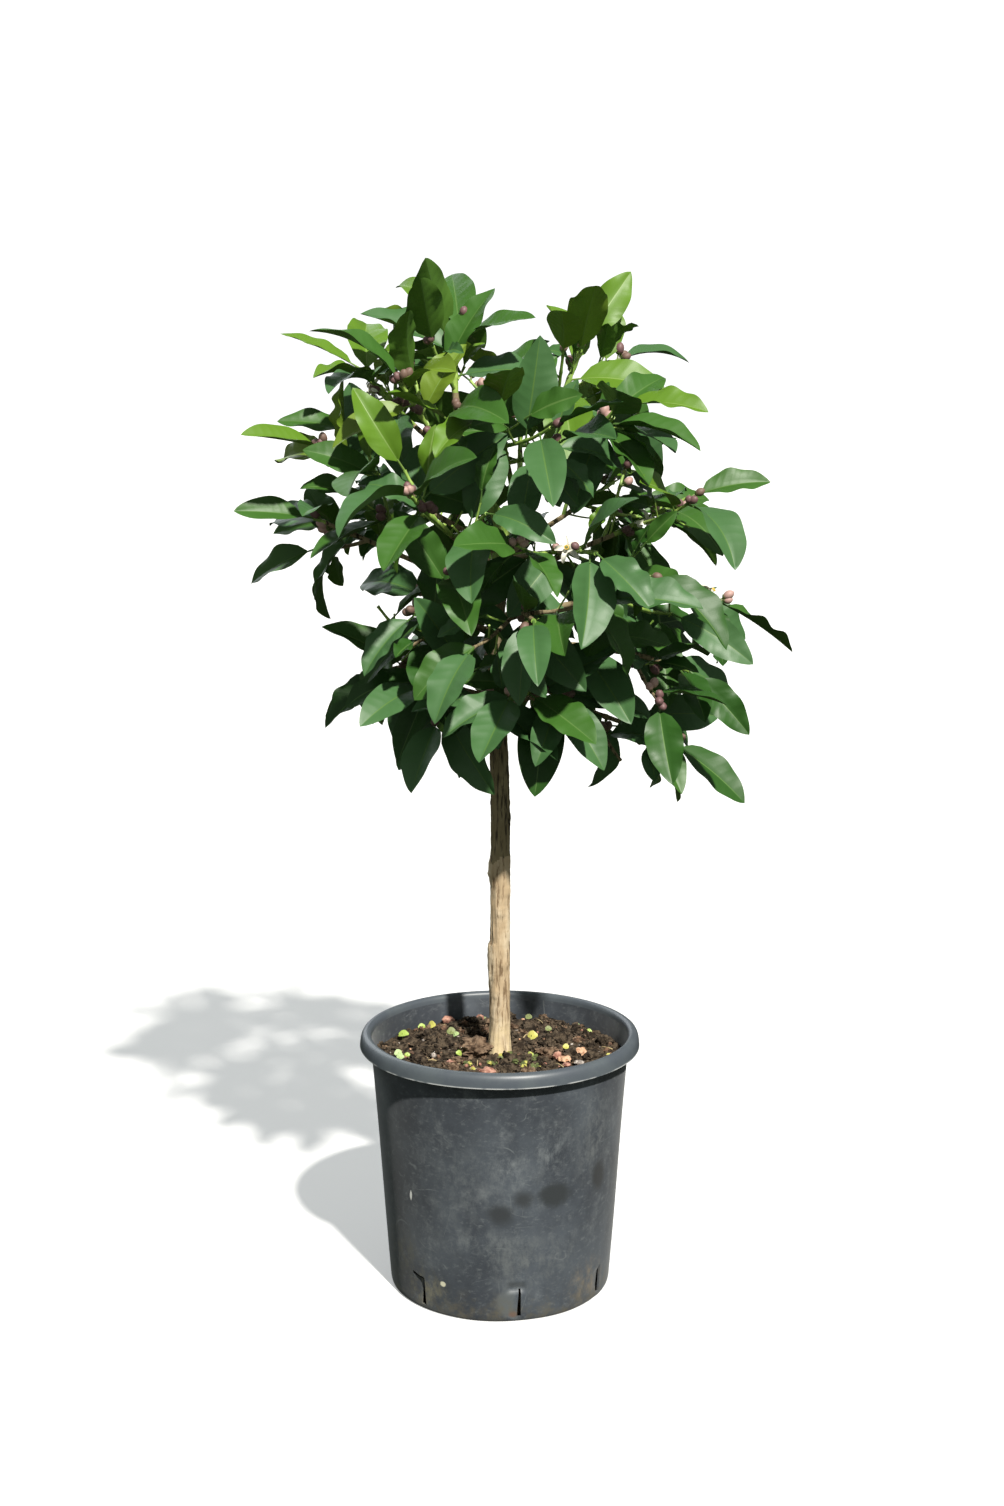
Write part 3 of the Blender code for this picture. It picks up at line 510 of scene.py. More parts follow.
# How steeply a flap fades at its far side, and at its foot
FLAP_EDGE = 1.5
FLAP_FOOT_EDGE = 2.0
POT_ROUGHNESS = 0.52
POT_SPECULAR = 0.60
POT_SHEEN = (("Sheen Weight", 0.14), ("Sheen Roughness", 0.45))
POT_GRAIN = (420.0, 0.12, 0.0004)
POT_CLOUDS = (13.0, (1.0, 1.0, 0.8), 7.0, 0.62, 0.34, 0.68)
POT_SCUFFS = (34.0, (1.0, 1.0, 0.8), 12.0, 0.76, 0.50, 0.84)
POT_SPECKS = (260.0, (0.6, 0.6, 1.0), 6.0, 0.7, 0.50, 0.92)
POT_DARK = (0.029, 0.0345, 0.0435)
POT_LIGHT = (0.060, 0.071, 0.085)
POT_HAIRLINES = ((15.0, (1.0, 1.0, 0.40)), (19.0, (0.8, 0.8, 2.2)))
POT_HAIRLINE = (0.100, 0.112, 0.120)
HAIRLINE_WIDTH = 0.0045
HAIRLINE_BREAKS = 3.0
HAIRLINE_RANGE = (0.48, 0.62)
NOISE_MIDDLE = 0.5
POT_SCUFF = (0.152, 0.166, 0.173)
POT_DIRT = (0.095, 0.084, 0.058)
POT_DIRT_HEIGHT = 0.040
POT_DIRT_NOISE = (60.0, EVEN, 8.0, 0.7, 0.42, 0.74)
LIP_ROUGHNESS = 0.42
# The lip's tones are painted lighter than the wall's: painted light where the roll catches the lamp
LIP_PAINTED_LIGHT = (0.076, 0.090, 0.100)
# Pale band along the lip's sharp lower edge: partly pale wear, partly a painted highlight
LIP_WEAR_AND_HIGHLIGHT = (0.360, 0.370, 0.370)
LIP_WEAR_AND_HIGHLIGHT_HEIGHTS = (0.2486, 0.2474)
LIP_WEAR_AND_HIGHLIGHT_NOISE = (45.0, EVEN, 4.0, 0.55, 0.36, 0.56)
LIP_CLOUDS = (30.0, EVEN, 7.0, 0.65, 0.35, 0.68)
LIP_GRAIN = (500.0, 0.10, 0.0003)
POT_MARK_NOISE = (70.0, EVEN, 5.0, 0.7)
POT_MARK_EDGE = 1.5
# Marks on the wall: a middle, a reach along each axis, how soft the edge is, and a colour
POT_MARKS = (
    ((0.0532, -0.1079, 0.1297), (0.0150, 0.03, 0.0120), 0.40, (0.024, 0.028, 0.031)),
    ((0.0003, -0.1192, 0.1141), (0.0120, 0.03, 0.0100), 0.55, (0.028, 0.032, 0.036)),
    ((0.0220, -0.1180, 0.1290), (0.0090, 0.03, 0.0080), 0.65, (0.030, 0.034, 0.038)),
    ((0.0960, -0.0700, 0.1350), (0.0060, 0.03, 0.0160), 0.50, (0.024, 0.026, 0.028)),
    ((0.0060, -0.1080, 0.0200), (0.0090, 0.02, 0.0140), 0.30, (0.082, 0.092, 0.096)),
    ((0.0130, -0.1100, 0.0080), (0.0040, 0.02, 0.0030), 0.60, (0.120, 0.070, 0.055)),
    ((-0.0866, -0.0825, 0.1192), (0.0011, 0.02, 0.0048), 0.25, (0.600, 0.600, 0.580)),
    ((-0.0553, -0.0991, 0.0343), (0.0026, 0.02, 0.0026), 0.25, (0.560, 0.540, 0.400)),
)
POT_WISP_NOISE = (84.0, (1.0, 1.0, 0.6), 12.0, 0.80, 0.42, 0.68)
POT_WISP_BLUR = 0.9
# Pale scuffs and dirt that noise breaks up: a middle, a reach along each axis, and a colour
POT_WISPS = (
    ((0.0080, -0.1180, 0.1580), (0.0150, 0.03, 0.0200), (0.150, 0.164, 0.172)),
    ((0.0480, -0.1120, 0.1770), (0.0170, 0.03, 0.0260), (0.125, 0.138, 0.146)),
    ((-0.0350, -0.1150, 0.1450), (0.0300, 0.03, 0.0340), (0.090, 0.101, 0.108)),
    ((-0.0200, -0.1150, 0.0850), (0.0420, 0.03, 0.0100), (0.110, 0.122, 0.129)),
    ((0.0300, -0.1120, 0.0620), (0.0500, 0.03, 0.0220), (0.100, 0.110, 0.114)),
    ((0.0900, -0.0800, 0.1800), (0.0160, 0.03, 0.0420), (0.105, 0.114, 0.118)),
    ((-0.0720, -0.0880, 0.0200), (0.0160, 0.03, 0.0180), (0.190, 0.172, 0.105)),
    ((0.0860, -0.0720, 0.0220), (0.0160, 0.03, 0.0200), (0.170, 0.140, 0.100)),
    ((-0.0950, -0.0600, 0.0500), (0.0200, 0.03, 0.0240), (0.085, 0.085, 0.060)),
)

# Soil: crumbs, clods, pebbles and seedlings on an uneven top
SOIL_ROUND = 150
SOIL_RINGS = 62
SOIL_SWELL = 0.0060
SOIL_SWELL_SCALE = 24.0
SOIL_SWELL_SEED = 3.0
SOIL_CRUMB = 0.0034
SOIL_CRUMB_SCALE = 170.0
SOIL_CRUMB_SEED = 8.0
SOIL_CRUMB_FRACTAL = (0.9, 2.1, 4)
SOIL_LEVEL_RADIUS = 0.010
SOIL_LEVEL_BLEND = 0.02
SOIL_RIM = 0.088
SOIL_DIP = 0.0026
SOIL_DIP_MIDDLE = 1.2
SOIL_RADIUS = 0.1262
SOIL_SHRUNK = 0.0062
SOIL_WALL_HEIGHT = 0.06
SOIL_SHOULDER = 0.012
SOIL_SHARP_ANGLE = radians(80.0)
CLOD_SHARP_ANGLE = radians(60.0)
LUMP_SPREAD = (0.7, 1.35)
LUMP_HEIGHT = (0.55, 0.95)
# Scale of each noise on a lump, and its share
LUMP_NOISES = ((1.7, 1.0), (4.0, 0.6), (9.0, 0.3))
CLOD_SEED = 3
# Each kind has how many, and from which size to which
CLOD_KINDS = (
    ("mound", 70, (0.0060, 0.0120)),
    ("clod", 330, (0.0028, 0.0068)),
    ("clod", 560, (0.0010, 0.0026)),
    ("chip", 90, (0.0018, 0.0052)),
    ("pebble_grey", 60, (0.0009, 0.0024)),
    ("pebble_red", 34, (0.0012, 0.0028)),
    ("pebble_tan", 26, (0.0010, 0.0022)),
)
STONE_KINDS = ("pebble_red", "pebble_grey", "pebble_tan")
# How uneven each kind of lump is, and how much of it is sunk
LUMP_LOOKS = {"mound": (0.8, 0.52), "clod": (1.0, 0.25), "chip": (0.7, 0.25)}
STONE_LOOKS = (0.3, 0.25)
BIG_STONE_LOOKS = (0.35, 0.20)
BIG_CLOD_LOOKS = (0.7, 0.35)
MOSS_LOOKS = (0.9, 0.1)
FINE_CLOD = 0.0028
COARSE_CLOD = 0.0018
BROWN_SHARE = 0.22
CLOD_REACH = 0.119
CLOD_CLEAR = 0.0028
LITTER_RISE = 0.0025
TRUNK_ROOM = 0.0165
# Each has a place on the soil, a size, and a kind
PEBBLES = (
    (-0.055, 0.104, 0.0050, "pebble_red"), (-0.021, 0.100, 0.0056, "pebble_red"),
    (-0.012, -0.078, 0.0064, "pebble_red"), (-0.049, -0.050, 0.0042, "pebble_red"),
    (0.045, -0.014, 0.0090, "clod_brown"), (0.057, -0.026, 0.0046, "pebble_red"),
    (0.064, -0.034, 0.0050, "pebble_tan"), (0.080, -0.012, 0.0052, "pebble_tan"),
    (0.078, -0.046, 0.0036, "pebble_grey"), (0.076, -0.064, 0.0038, "pebble_tan"),
    (0.066, -0.047, 0.0036, "pebble_red"), (-0.026, -0.008, 0.0110, "clod_brown"),
    (0.006, 0.006, 0.0036, "pebble_grey"), (-0.066, -0.020, 0.0032, "pebble_grey"),
)
SPROUT_FINISHES = ("sprout", "sprout_dull", "sprout_yellow", "straw", "sprout_pale", "moss")
SPROUT_SLENDER = (0.75, 1.0)
SPROUT_ARCH = (0.3, 1.1)
SPROUT_FOLD = 0.30
SPROUT_TURN = 0.6
SPROUT_DEPTH = 0.4
SPROUT_RISE = (-0.1, 0.35)
SPROUT_TILT = (0.5, 1.0)
SPROUT_LIFT = 0.22
SPROUT_STEM = 0.3
SPROUT_SUNK = 0.004
SCRAP_ROWS = 8
# Each has a place on the soil, a size, and a slot among the finishes
SPROUTS = (
    (-0.100, 0.049, 0.0125, 0), (-0.081, 0.076, 0.0085, 0), (-0.072, 0.080, 0.0100, 2),
    (0.033, 0.043, 0.0120, 2), (0.050, 0.063, 0.0075, 1), (0.092, 0.063, 0.0068, 0),
    (-0.101, -0.012, 0.0090, 4), (-0.099, -0.028, 0.0085, 4), (-0.092, -0.016, 0.0060, 0),
    (0.030, -0.024, 0.0075, 0), (0.067, 0.006, 0.0070, 2), (0.082, 0.094, 0.0060, 4),
    (-0.027, -0.062, 0.0065, 2), (-0.040, -0.018, 0.0075, 0), (-0.016, 0.108, 0.0060, 1),
    (0.030, 0.106, 0.0080, 1), (0.096, -0.012, 0.0050, 0), (0.108, -0.014, 0.0045, 2),
    (-0.010, 0.004, 0.0050, 2), (-0.050, 0.052, 0.0100, 1), (-0.046, 0.044, 0.0080, 4),
)

# Moss on the soil: a middle, its spread, and how many tufts
MOSS = ((0.004, -0.020, 0.0035, 16), (0.030, -0.030, 0.0045, 14), (0.022, -0.060, 0.0060, 16),
        (-0.006, -0.040, 0.0040, 8), (0.034, -0.062, 0.0040, 8), (-0.030, -0.050, 0.0030, 6))
MOSS_SIZE = (0.0012, 0.0034)
MOSS_SLOTS = (5, 5, 5, 1, 2)
MOSS_ROOM = TRUNK_ROOM - 0.003
STRAWS = 26
STRAW_SLOT = 3
STRAW_ROOM = 0.03
STRAW_LENGTH = (0.006, 0.018)
STRAW_RISE = (0.001, 0.004)
STRAW_RADII = (0.0006, 0.0003)
STRAW_MESH = (5, 6)

# Studio
FLOOR_RADIUS = 60.0
FLOOR_RINGS = (0.5, 2.0, 8.0)
FLOOR_ROUND = 96
FLOOR_ROUGHNESS = 0.9
FLOOR_LOOKS = (("Base Color", (0.56, 0.56, 0.56)), ("Emission Color", WHITE), ("Emission Strength", 0.28))
BACKDROP = 1.15
# Lamps: name, strength, spread, colour, turn from the front to the right, and rise
LAMPS = (
    ("key", 6.7, radians(2.2), (1.0, 0.965, 0.90), radians(22.0), radians(45.0)),
    ("back", 0.9, radians(40.0), (0.90, 0.95, 1.0), radians(205.0), radians(28.0)),
)
SKY_COLOUR = (0.89, 0.96, 0.93)
SKY_STRENGTH = 0.48
SKY_MIRRORED = 0.12
GROUND_COLOUR = (0.24, 0.27, 0.18)
HORIZON = (-0.50, 0.05)


def clamp(value):
    """The value, held between 0 and 1."""
    return min(1.0, max(0.0, value))


def blend(pair, share):
    """The value at a share of the way from the first of a pair to the second."""
    return pair[0] + (pair[1] - pair[0]) * share


def loft(rings, tip=None):
    """One closed skin over a row of rings, ending in a flat face or drawn to a tip."""
    sides = len(rings[0])
    points = [point for ring in rings for point in ring]
    faces = [tuple(reversed(range(sides)))]
    for first in range(0, sides * (len(rings) - 1), sides):
        for side in range(sides):
            after = (side + 1) % sides
            faces.append((first + side, first + after, first + sides + after, first + sides + side))
    last = sides * (len(rings) - 1)
    if tip is None:
        faces.append(tuple(range(last, last + sides)))
    else:
        points.append(tip)
        faces += [(last + side, last + (side + 1) % sides, len(points) - 1) for side in range(sides)]
    return Skin(points, faces)


def trunk_share(height):
    """How far up the trunk a height is, from 0 at the soil to 1 at the fork."""
    return (height - TRUNK_BASE) / (TRUNK_TOP - TRUNK_BASE)


def trunk_centre(height):
    """Middle of the trunk at a height."""
    sway = exp(-((height - SWAY_HEIGHT) / SWAY_SPREAD) ** 2)
    return Vector((FORK_OFFSET * trunk_share(height) - SWAY * sway, 0.0, height))


def trunk_radius(height, side=0.0):
    """Radius of the trunk at a height; side is 1 on the left, where the graft swells."""
    taper = (TRUNK_FOOT_RADIUS - TRUNK_TOP_RADIUS) * trunk_share(height) ** TRUNK_TAPER_POWER
    flare = FLARE * exp(-(height - TRUNK_BASE) / FLARE_HEIGHT)
    swell = sum(out * exp(-((height - place) / spread) ** 2) for place, out, spread in SWELLINGS)
    return TRUNK_FOOT_RADIUS - taper + flare + swell * side


def trunk_skin():
    """The solid trunk's skin."""
    heights = [TRUNK_BASE + FLARE_HEIGHT * step for step in FLARE_RINGS]
    heights += [place + spread * step for place, _, spread in SWELLINGS for step in SWELLING_RINGS]
    height = TRUNK_TOP
    while height > TRUNK_BASE:
        if min(abs(height - other) for other in heights) > TRUNK_STEP_LEAST:
            heights.append(height)
        height -= TRUNK_STEP
    rings = []
    for height in sorted(heights):
        ring = []
        for number in range(TRUNK_SIDES):
            angle = tau * number / TRUNK_SIDES
            radius = trunk_radius(height, max(0.0, -cos(angle)))
            ring.append(trunk_centre(height) + Vector((cos(angle), sin(angle), 0.0)) * radius)
        rings.append(ring)
    return loft(rings)


def curve_point(curve, share):
    """Point of a curve at a share of its way."""
    rest = 1.0 - share
    return curve.start * rest * rest + curve.middle * 2.0 * rest * share + curve.end * share * share


def curve_heading(curve, share):
    """Direction of a curve at a share of its way."""
    step = (curve.middle - curve.start) * (1.0 - share) + (curve.end - curve.middle) * share
    return step.normalized()


def curve_part(curve, first, last):
    """The stretch of a curve between two shares of its way, as a curve of its own."""
    start, end = curve_point(curve, first), curve_point(curve, last)
    middle = start + (curve.middle - curve.start).lerp(curve.end - curve.middle, first) * (last - first)
    return Curve(start, middle, end)


def spokes(across, other, sides):
    """Unit vectors round a section, from its two axes."""
    return [across * cos(tau * side / sides) + other * sin(tau * side / sides)
            for side in range(sides)]


def sections(curve, steps):
    """Each section of a limb along a curve: its share of the way, its middle, and its two axes."""
    across = curve_heading(curve, 0.0).orthogonal().normalized()
    for step in range(steps + 1):
        share = step / steps
        heading = curve_heading(curve, share)
        across = (across - heading * across.dot(heading)).normalized()
        yield share, curve_point(curve, share), across, heading.cross(across)


def tube(curve, radii, sides, steps):
    """A tapering tube along a curve, its ends cut square."""
    return loft([[centre + out * blend(radii, share) for out in spokes(across, other, sides)]
                 for share, centre, across, other in sections(curve, steps)])


def fence(skin):
    """A search tree of a skin, with its lowest and highest corners."""
    low = Vector(tuple(min(point[axis] for point in skin.points) for axis in range(3)))
    high = Vector(tuple(max(point[axis] for point in skin.points) for axis in range(3)))
    return Fence(BVHTree.FromPolygons(skin.points, skin.faces), low, high)


def is_free(guard, taken, low=CROWN_LOW, high=CROWN_HIGH):
    """Whether a guard skin lies inside a box and touches none of the solids that are taken."""
    mine = fence(guard)
    if any(mine.low[axis] < low[axis] or mine.high[axis] > high[axis] for axis in range(3)):
        return False
    for other in taken:
        apart = any(mine.low[axis] > other.high[axis] or mine.high[axis] < other.low[axis]
                    for axis in range(3))
        if not apart and mine.tree.overlap(other.tree):
            return False
    return True


def turned_about(heading, angle):
    """A unit vector square to a heading, at an angle round it."""
    across = heading.cross(UP)
    if across.length < NEARLY_UPRIGHT:
        across = heading.cross(BACK)
    across.normalize()
    return across * cos(angle) + heading.cross(across) * sin(angle)


def by_height(height, values):
    """A value for leaves at a height, from the value for the crown's lowest and that for its highest."""
    return blend(values, clamp((height - LEAF_HEIGHTS[0]) / (LEAF_HEIGHTS[1] - LEAF_HEIGHTS[0])))


def new_leaf(rng, shoot, place, turn, angle):
    """A leaf that leaves its shoot at a place along it, a turn round it and an angle off it."""
    root = curve_point(shoot, place)
    along = curve_heading(shoot, place)
    heading = along * cos(angle) + turned_about(along, turn) * sin(angle)
    sink = by_height(root.z, LEAF_DROOP) * rng.uniform(*LEAF_DROOP_SPREAD)
    heading = (heading - UP * sink).normalized()
    outward = Vector((root.x, root.y, 0.0)).normalized()
    front = by_height(root.z, LEAF_FACES_FRONT)
    sky = UP * LEAF_FACES_UP + outward * LEAF_FACES_OUT - BACK * front
    normal = (sky - heading * sky.dot(heading)).normalized()
    roll = rng.uniform(-LEAF_ROLL, LEAF_ROLL)
    normal = normal * cos(roll) + heading.cross(normal) * sin(roll)
    length = rng.uniform(*LEAF_LENGTH)
    return Leaf(root, heading, normal, length, length * rng.uniform(*LEAF_SLENDER),
                rng.uniform(*LEAF_ARCH), rng.uniform(*LEAF_FOLD))


def leaf_section(leaf, along):
    """Point, heading and normal of a leaf's midrib; along is 0 to 1 on the blade, under 0 on the stalk."""
    base = leaf.root + leaf.heading * STALK_LENGTH
    if along <= 0.0:
        return base + leaf.heading * STALK_LENGTH * along, leaf.heading, leaf.normal
    bend = leaf.arch * along
    reach = leaf.length / leaf.arch
    point = base + leaf.heading * reach * sin(bend) - leaf.normal * reach * (1.0 - cos(bend))
    heading = leaf.heading * cos(bend) - leaf.normal * sin(bend)
    normal = leaf.normal * cos(bend) + leaf.heading * sin(bend)
    return point, heading, normal


def half_width(leaf, along):
    """Half the blade's width at a share of its length."""
    if along <= 0.0:
        return STALK_WIDTH / 2.0
    rise = LEAF_TAPER * LEAF_WIDEST / (1.0 - LEAF_WIDEST)
    peak = LEAF_WIDEST ** rise * (1.0 - LEAF_WIDEST) ** LEAF_TAPER
    blade = along ** rise * (1.0 - along) ** LEAF_TAPER / peak
    return max(leaf.width / 2.0 * blade, STALK_WIDTH / 2.0 * (1.0 - along))


def leaf_ring(leaf, along, extra=0.0):
    """Four corners of a leaf's section: two edges, lifted by the fold, and the midrib's two faces."""
    point, heading, normal = leaf_section(leaf, along)
    across = normal.cross(heading)
    half = half_width(leaf, along) + extra
    lift = normal * half * sin(leaf.fold) if along > 0.0 else Vector()
    edge = across * half * cos(leaf.fold)
    thick = normal * (LEAF_THICKNESS / 2.0 + extra)
    return [point + edge + lift, point + thick, point - edge + lift, point - thick]


def leaf_skin(leaf):
    """The leaf as a closed skin whose root is sunk in its shoot."""
    across = leaf.normal.cross(leaf.heading) * ROOT_HALF
    thick = leaf.normal * ROOT_HALF
    root = [leaf.root + across, leaf.root + thick, leaf.root - across, leaf.root - thick]
    rings = [root] + [leaf_ring(leaf, along) for along in (0.0,) + LEAF_STATIONS]
    return loft(rings, leaf_section(leaf, 1.0)[0])


def leaf_guard(leaf, start=0.0):
    """The leaf, a little thicker and wider, from a distance along its stalk to its tip."""
    first = start / STALK_LENGTH - 1.0
    rings = [leaf_ring(leaf, along, GUARD) for along in (first, 0.0) + LEAF_STATIONS]
    return loft(rings, leaf_section(leaf, 1.0)[0])


def bud_skin(root, heading, start=0.0, extra=0.0):
    """A plump bud on a short stalk, from a distance along the stalk."""
    across = heading.orthogonal().normalized()
    around = spokes(across, heading.cross(across), BUD_SIDES)
    rings = []
    for distance, radius in ((start, ROOT_HALF), (BUD_STALK, BUD_NECK),
                             (BUD_STALK + BUD_LENGTH * BUD_WIDEST, BUD_RADIUS)):
        rings.append([root + heading * distance + out * (radius + extra) for out in around])
    return loft(rings, root + heading * (BUD_STALK + BUD_LENGTH + extra))


def side_twig(rng, limb, place, turn, angle, lengths, lift):
    """A side shoot or twig that turns up towards its tip."""
    root = curve_point(limb, place)
    along = curve_heading(limb, place)
    heading = along * cos(angle) + turned_about(along, turn) * sin(angle)
    length = rng.uniform(*lengths)
    middle = root + heading * length * 0.5
    return Curve(root, middle, middle + (heading + UP * lift).normalized() * length * 0.5)


def add_if_free(skin, whole_guard, outer_guard, own, taken):
    """Take a new piece's place if it clears every other solid, and beyond its root its own shoot too."""
    others = [solid for solid in taken if solid is not own]
    if not is_free(whole_guard, others) or not is_free(outer_guard, [own]):
        return None
    taken.append(fence(skin))
    return taken[-1]


def place_leaves(rng, shoot, own, places, taken):
    """Set leaves round a shoot at the golden angle, trying a few turns for each."""
    leaves = []
    turn = rng.uniform(0.0, tau)
    for number, place in enumerate(places):
        share = number / (len(places) - 1)
        angle = blend((LEAF_ANGLE_LOW, LEAF_ANGLE_HIGH), share)
        if number == len(places) - 1:
            angle = LEAF_ANGLE_LAST
        for _ in range(TRIES):
            leaf = new_leaf(rng, shoot, place, turn, angle)
            if add_if_free(leaf_skin(leaf), leaf_guard(leaf), leaf_guard(leaf, LEAF_GUARD_START),
                           own, taken):
                leaves.append(leaf)
                break
            turn += rng.uniform(-LEAF_TURN_AGAIN, LEAF_TURN_AGAIN)
        turn += GOLDEN_ANGLE
    return leaves


def place_shoots(rng, stem, own, taken):
    """Set side shoots on a stem, and give back those that found room."""
    shoots = []
    turn = rng.uniform(0.0, tau)
    wider = tuple(radius + GUARD for radius in SHOOT_CORE_RADII)
    for place in SHOOT_PLACES:
        for _ in range(TRIES):
            shoot = side_twig(rng, stem, place, turn, SHOOT_ANGLE, SHOOT_LENGTH, SHOOT_LIFT)
            outer = curve_part(shoot, SHOOT_GUARD_START, 1.0)
            kept = add_if_free(tube(shoot, SHOOT_CORE_RADII, SHOOT_SIDES, SHOOT_STEPS),
                               tube(shoot, wider, SHOOT_SIDES, SHOOT_STEPS),
                               tube(outer, wider, SHOOT_SIDES, SHOOT_STEPS), own, taken)
            if kept:
                shoots.append((shoot, kept))
                break
            turn += rng.uniform(*SHOOT_TURN_AGAIN)
        turn += GOLDEN_ANGLE
    return shoots


def place_bud(rng, stem, own, taken):
    """Set one bud on the outer part of a stem."""
    for _ in range(TRIES):
        place = rng.uniform(*BUD_PLACES)
        along = curve_heading(stem, place)
        heading = (along + turned_about(along, rng.uniform(0.0, tau))).normalized()
        root = curve_point(stem, place)
        if add_if_free(bud_skin(root, heading), bud_skin(root, heading, 0.0, GUARD),
                       bud_skin(root, heading, BUD_GUARD_START, GUARD), own, taken):
            return [(root, heading)]
    return []


def branch_curve(branch, parents):
    """The whole limb of a branch, from the middle of its parent to its tip."""
    if branch.parent == "trunk":
        start = trunk_centre(branch.start)
    else:
        start = curve_point(parents[branch.parent], branch.start)
    tip = Vector(branch.tip)
    return Curve(start, (start + tip) / 2.0 + Vector(branch.bow), tip)


def plan_limbs():
    """Curves of the boughs and of the stems that carry on from them, by branch name."""
    boughs, stems = {}, {}
    for branch in LEADERS + BRANCHES:
        whole = branch_curve(branch, boughs)
        share = LEADER_SHARE if branch in LEADERS else BOUGH_SHARE
        speed = (whole.middle - whole.start).lerp(whole.end - whole.middle, share) * 2.0
        boughs[branch.name] = curve_part(whole, 0.0, share)
        stems[branch.name] = curve_part(whole, share + CLEAR / speed.length, 1.0)
    return boughs, stems


def bough_radii(branch):
    """Radius of a bough at its root and at its end."""
    if branch in LEADERS:
        return LEADER_ROOT_RADIUS, LEADER_END_RADIUS
    return BOUGH_ROOT_RADIUS, BOUGH_END_RADIUS


def grow_crown():
    """Boughs, masses and the solids that they take up, in the order in which the solids grow."""
    boughs, stems = plan_limbs()
    taken = [fence(trunk_skin())]
    for branch in LEADERS + BRANCHES:
        taken.append(fence(tube(boughs[branch.name], bough_radii(branch), BOUGH_SIDES, BOUGH_STEPS)))
    own = {}
    for branch in LEADERS + BRANCHES:
        radii = (bough_radii(branch)[1] - CLEAR, STEM_TIP_RADIUS)
        own[branch.name] = fence(tube(stems[branch.name], radii, STEM_SIDES, STEM_STEPS))
    taken += own.values()
    masses = []
    for branch in LEADERS + BRANCHES:
        rng = random.Random(branch.seed)
        stem = stems[branch.name]
        shoots = place_shoots(rng, stem, own[branch.name], taken)
        leaves = place_leaves(rng, stem, own[branch.name], STEM_LEAF_PLACES, taken)
        for shoot, shoot_fence in shoots:
            leaves += place_leaves(rng, shoot, shoot_fence, SHOOT_LEAF_PLACES, taken)
        buds = place_bud(rng, stem, own[branch.name], taken)
        limbs = [(stem, own[branch.name])] + shoots
        masses.append(Mass(branch, boughs[branch.name], limbs, leaves, buds))
    return masses, taken


class Piece:
    """Points and faces of one joined mesh, with the slot of its finish for each face."""

    def __init__(self):
        self.points = []
        self.faces = []
        self.slots = []

    def add(self, points, faces, slots):
        """Add a shape; slots is one slot for all its faces, or a slot for each."""
        first = len(self.points)
        self.points += [tuple(point) for point in points]
        self.faces += [tuple(first + corner for corner in face) for face in faces]
        self.slots += [slots] * len(faces) if isinstance(slots, int) else slots

    def build(self, name, finishes, slot, nodes=(), sharp=SHARP_ANGLE):
        """Make the object, ride it on the body, and let it stand for the solids that it replaces."""
        mesh = bpy.data.meshes.new(name)
        mesh.from_pydata(self.points, [], self.faces)
        for finish in finishes:
            mesh.materials.append(FINISHES[finish])
        mesh.polygons.foreach_set("material_index", self.slots)
        mesh.shade_smooth()
        mesh.set_sharp_from_angle(angle=sharp)
        finish_piece(add_object(name, mesh), nodes)


def add_object(name, data):
    """A new object in the scene."""
    thing = bpy.data.objects.new(name, data)
    bpy.context.scene.collection.objects.link(thing)
    return thing


def finish_piece(thing, nodes=()):
    """What the frame has to know about a piece."""
    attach(thing, BODY)
    if nodes:
        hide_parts(*nodes)


def add_node(tree, kind, inputs, **settings):
    """A new shader node; inputs says what feeds each socket: a value, a colour, or an output."""
    node = tree.nodes.new("ShaderNode" + kind)
    for name, value in settings.items():
        setattr(node, name, value)
    for name, value in inputs.items():
        feed(tree, node.inputs[name], value)
    return node


def feed(tree, socket, value):
    """Link a socket to an output, or give it a value or a colour."""
    if isinstance(value, bpy.types.NodeSocket):
        tree.links.new(value, socket)
    else:
        socket.default_value = (*value, 1.0) if socket.type == "RGBA" else value


def point_in(tree, space="Object"):
    """The place of the shaded point in a space."""
    return add_node(tree, "TexCoord", {}).outputs[space]


def placed_noise(tree, scale, stretch=EVEN, detail=4.0, rough=0.55):
    """Noise in the object's own space, so that it stays on the surface."""
    mapping = add_node(tree, "Mapping", {"Scale": stretch, "Vector": point_in(tree)})
    texture = add_node(tree, "TexNoise", {"Scale": scale, "Detail": detail, "Roughness": rough,
                                          "Vector": mapping.outputs["Vector"]})
    return texture.outputs["Fac"]


def stepped(tree, value, low, high):
    """The value stretched so that low becomes 0 and high becomes 1."""
    limits = {"From Min": low, "From Max": high, "Value": value}
    return add_node(tree, "MapRange", limits, interpolation_type="SMOOTHSTEP").outputs["Result"]


def pattern(tree, scale, stretch, detail, rough, low, high):
    """Patches of a noise: 0 where it is under low, and 1 where it is over high."""
    return stepped(tree, placed_noise(tree, scale, stretch, detail, rough), low, high)


def by_z(tree, low, high, space="Object"):
    """0 at the low height and 1 at the high one."""
    split = add_node(tree, "SeparateXYZ", {"Vector": point_in(tree, space)})
    return stepped(tree, split.outputs["Z"], low, high)


def mixed(tree, share, first, second):
    """A colour between two colours, each a triple or an output."""
    return add_node(tree, "Mix", {"Factor": share, 6: first, 7: second}, data_type="RGBA").outputs[2]


def result(tree, kind, operation, *values, output=0):
    """What a math node makes of its values."""
    return add_node(tree, kind, dict(enumerate(values)), operation=operation).outputs[output]


def product(tree, first, second):
    """One value times another."""
    return result(tree, "Math", "MULTIPLY", first, second)


def new_material(name, roughness, specular=0.5, others=()):
    """The node tree of a new finish, which is kept under its name; others are more sockets and values."""
    finish = FINISHES[name] = bpy.data.materials.new(name)
    finish.use_nodes = True
    tree = finish.node_tree
    for socket, value in (("Roughness", roughness), ("Specular IOR Level", specular), *others):
        feed(tree, tree.nodes["Principled BSDF"].inputs[socket], value)
    return tree


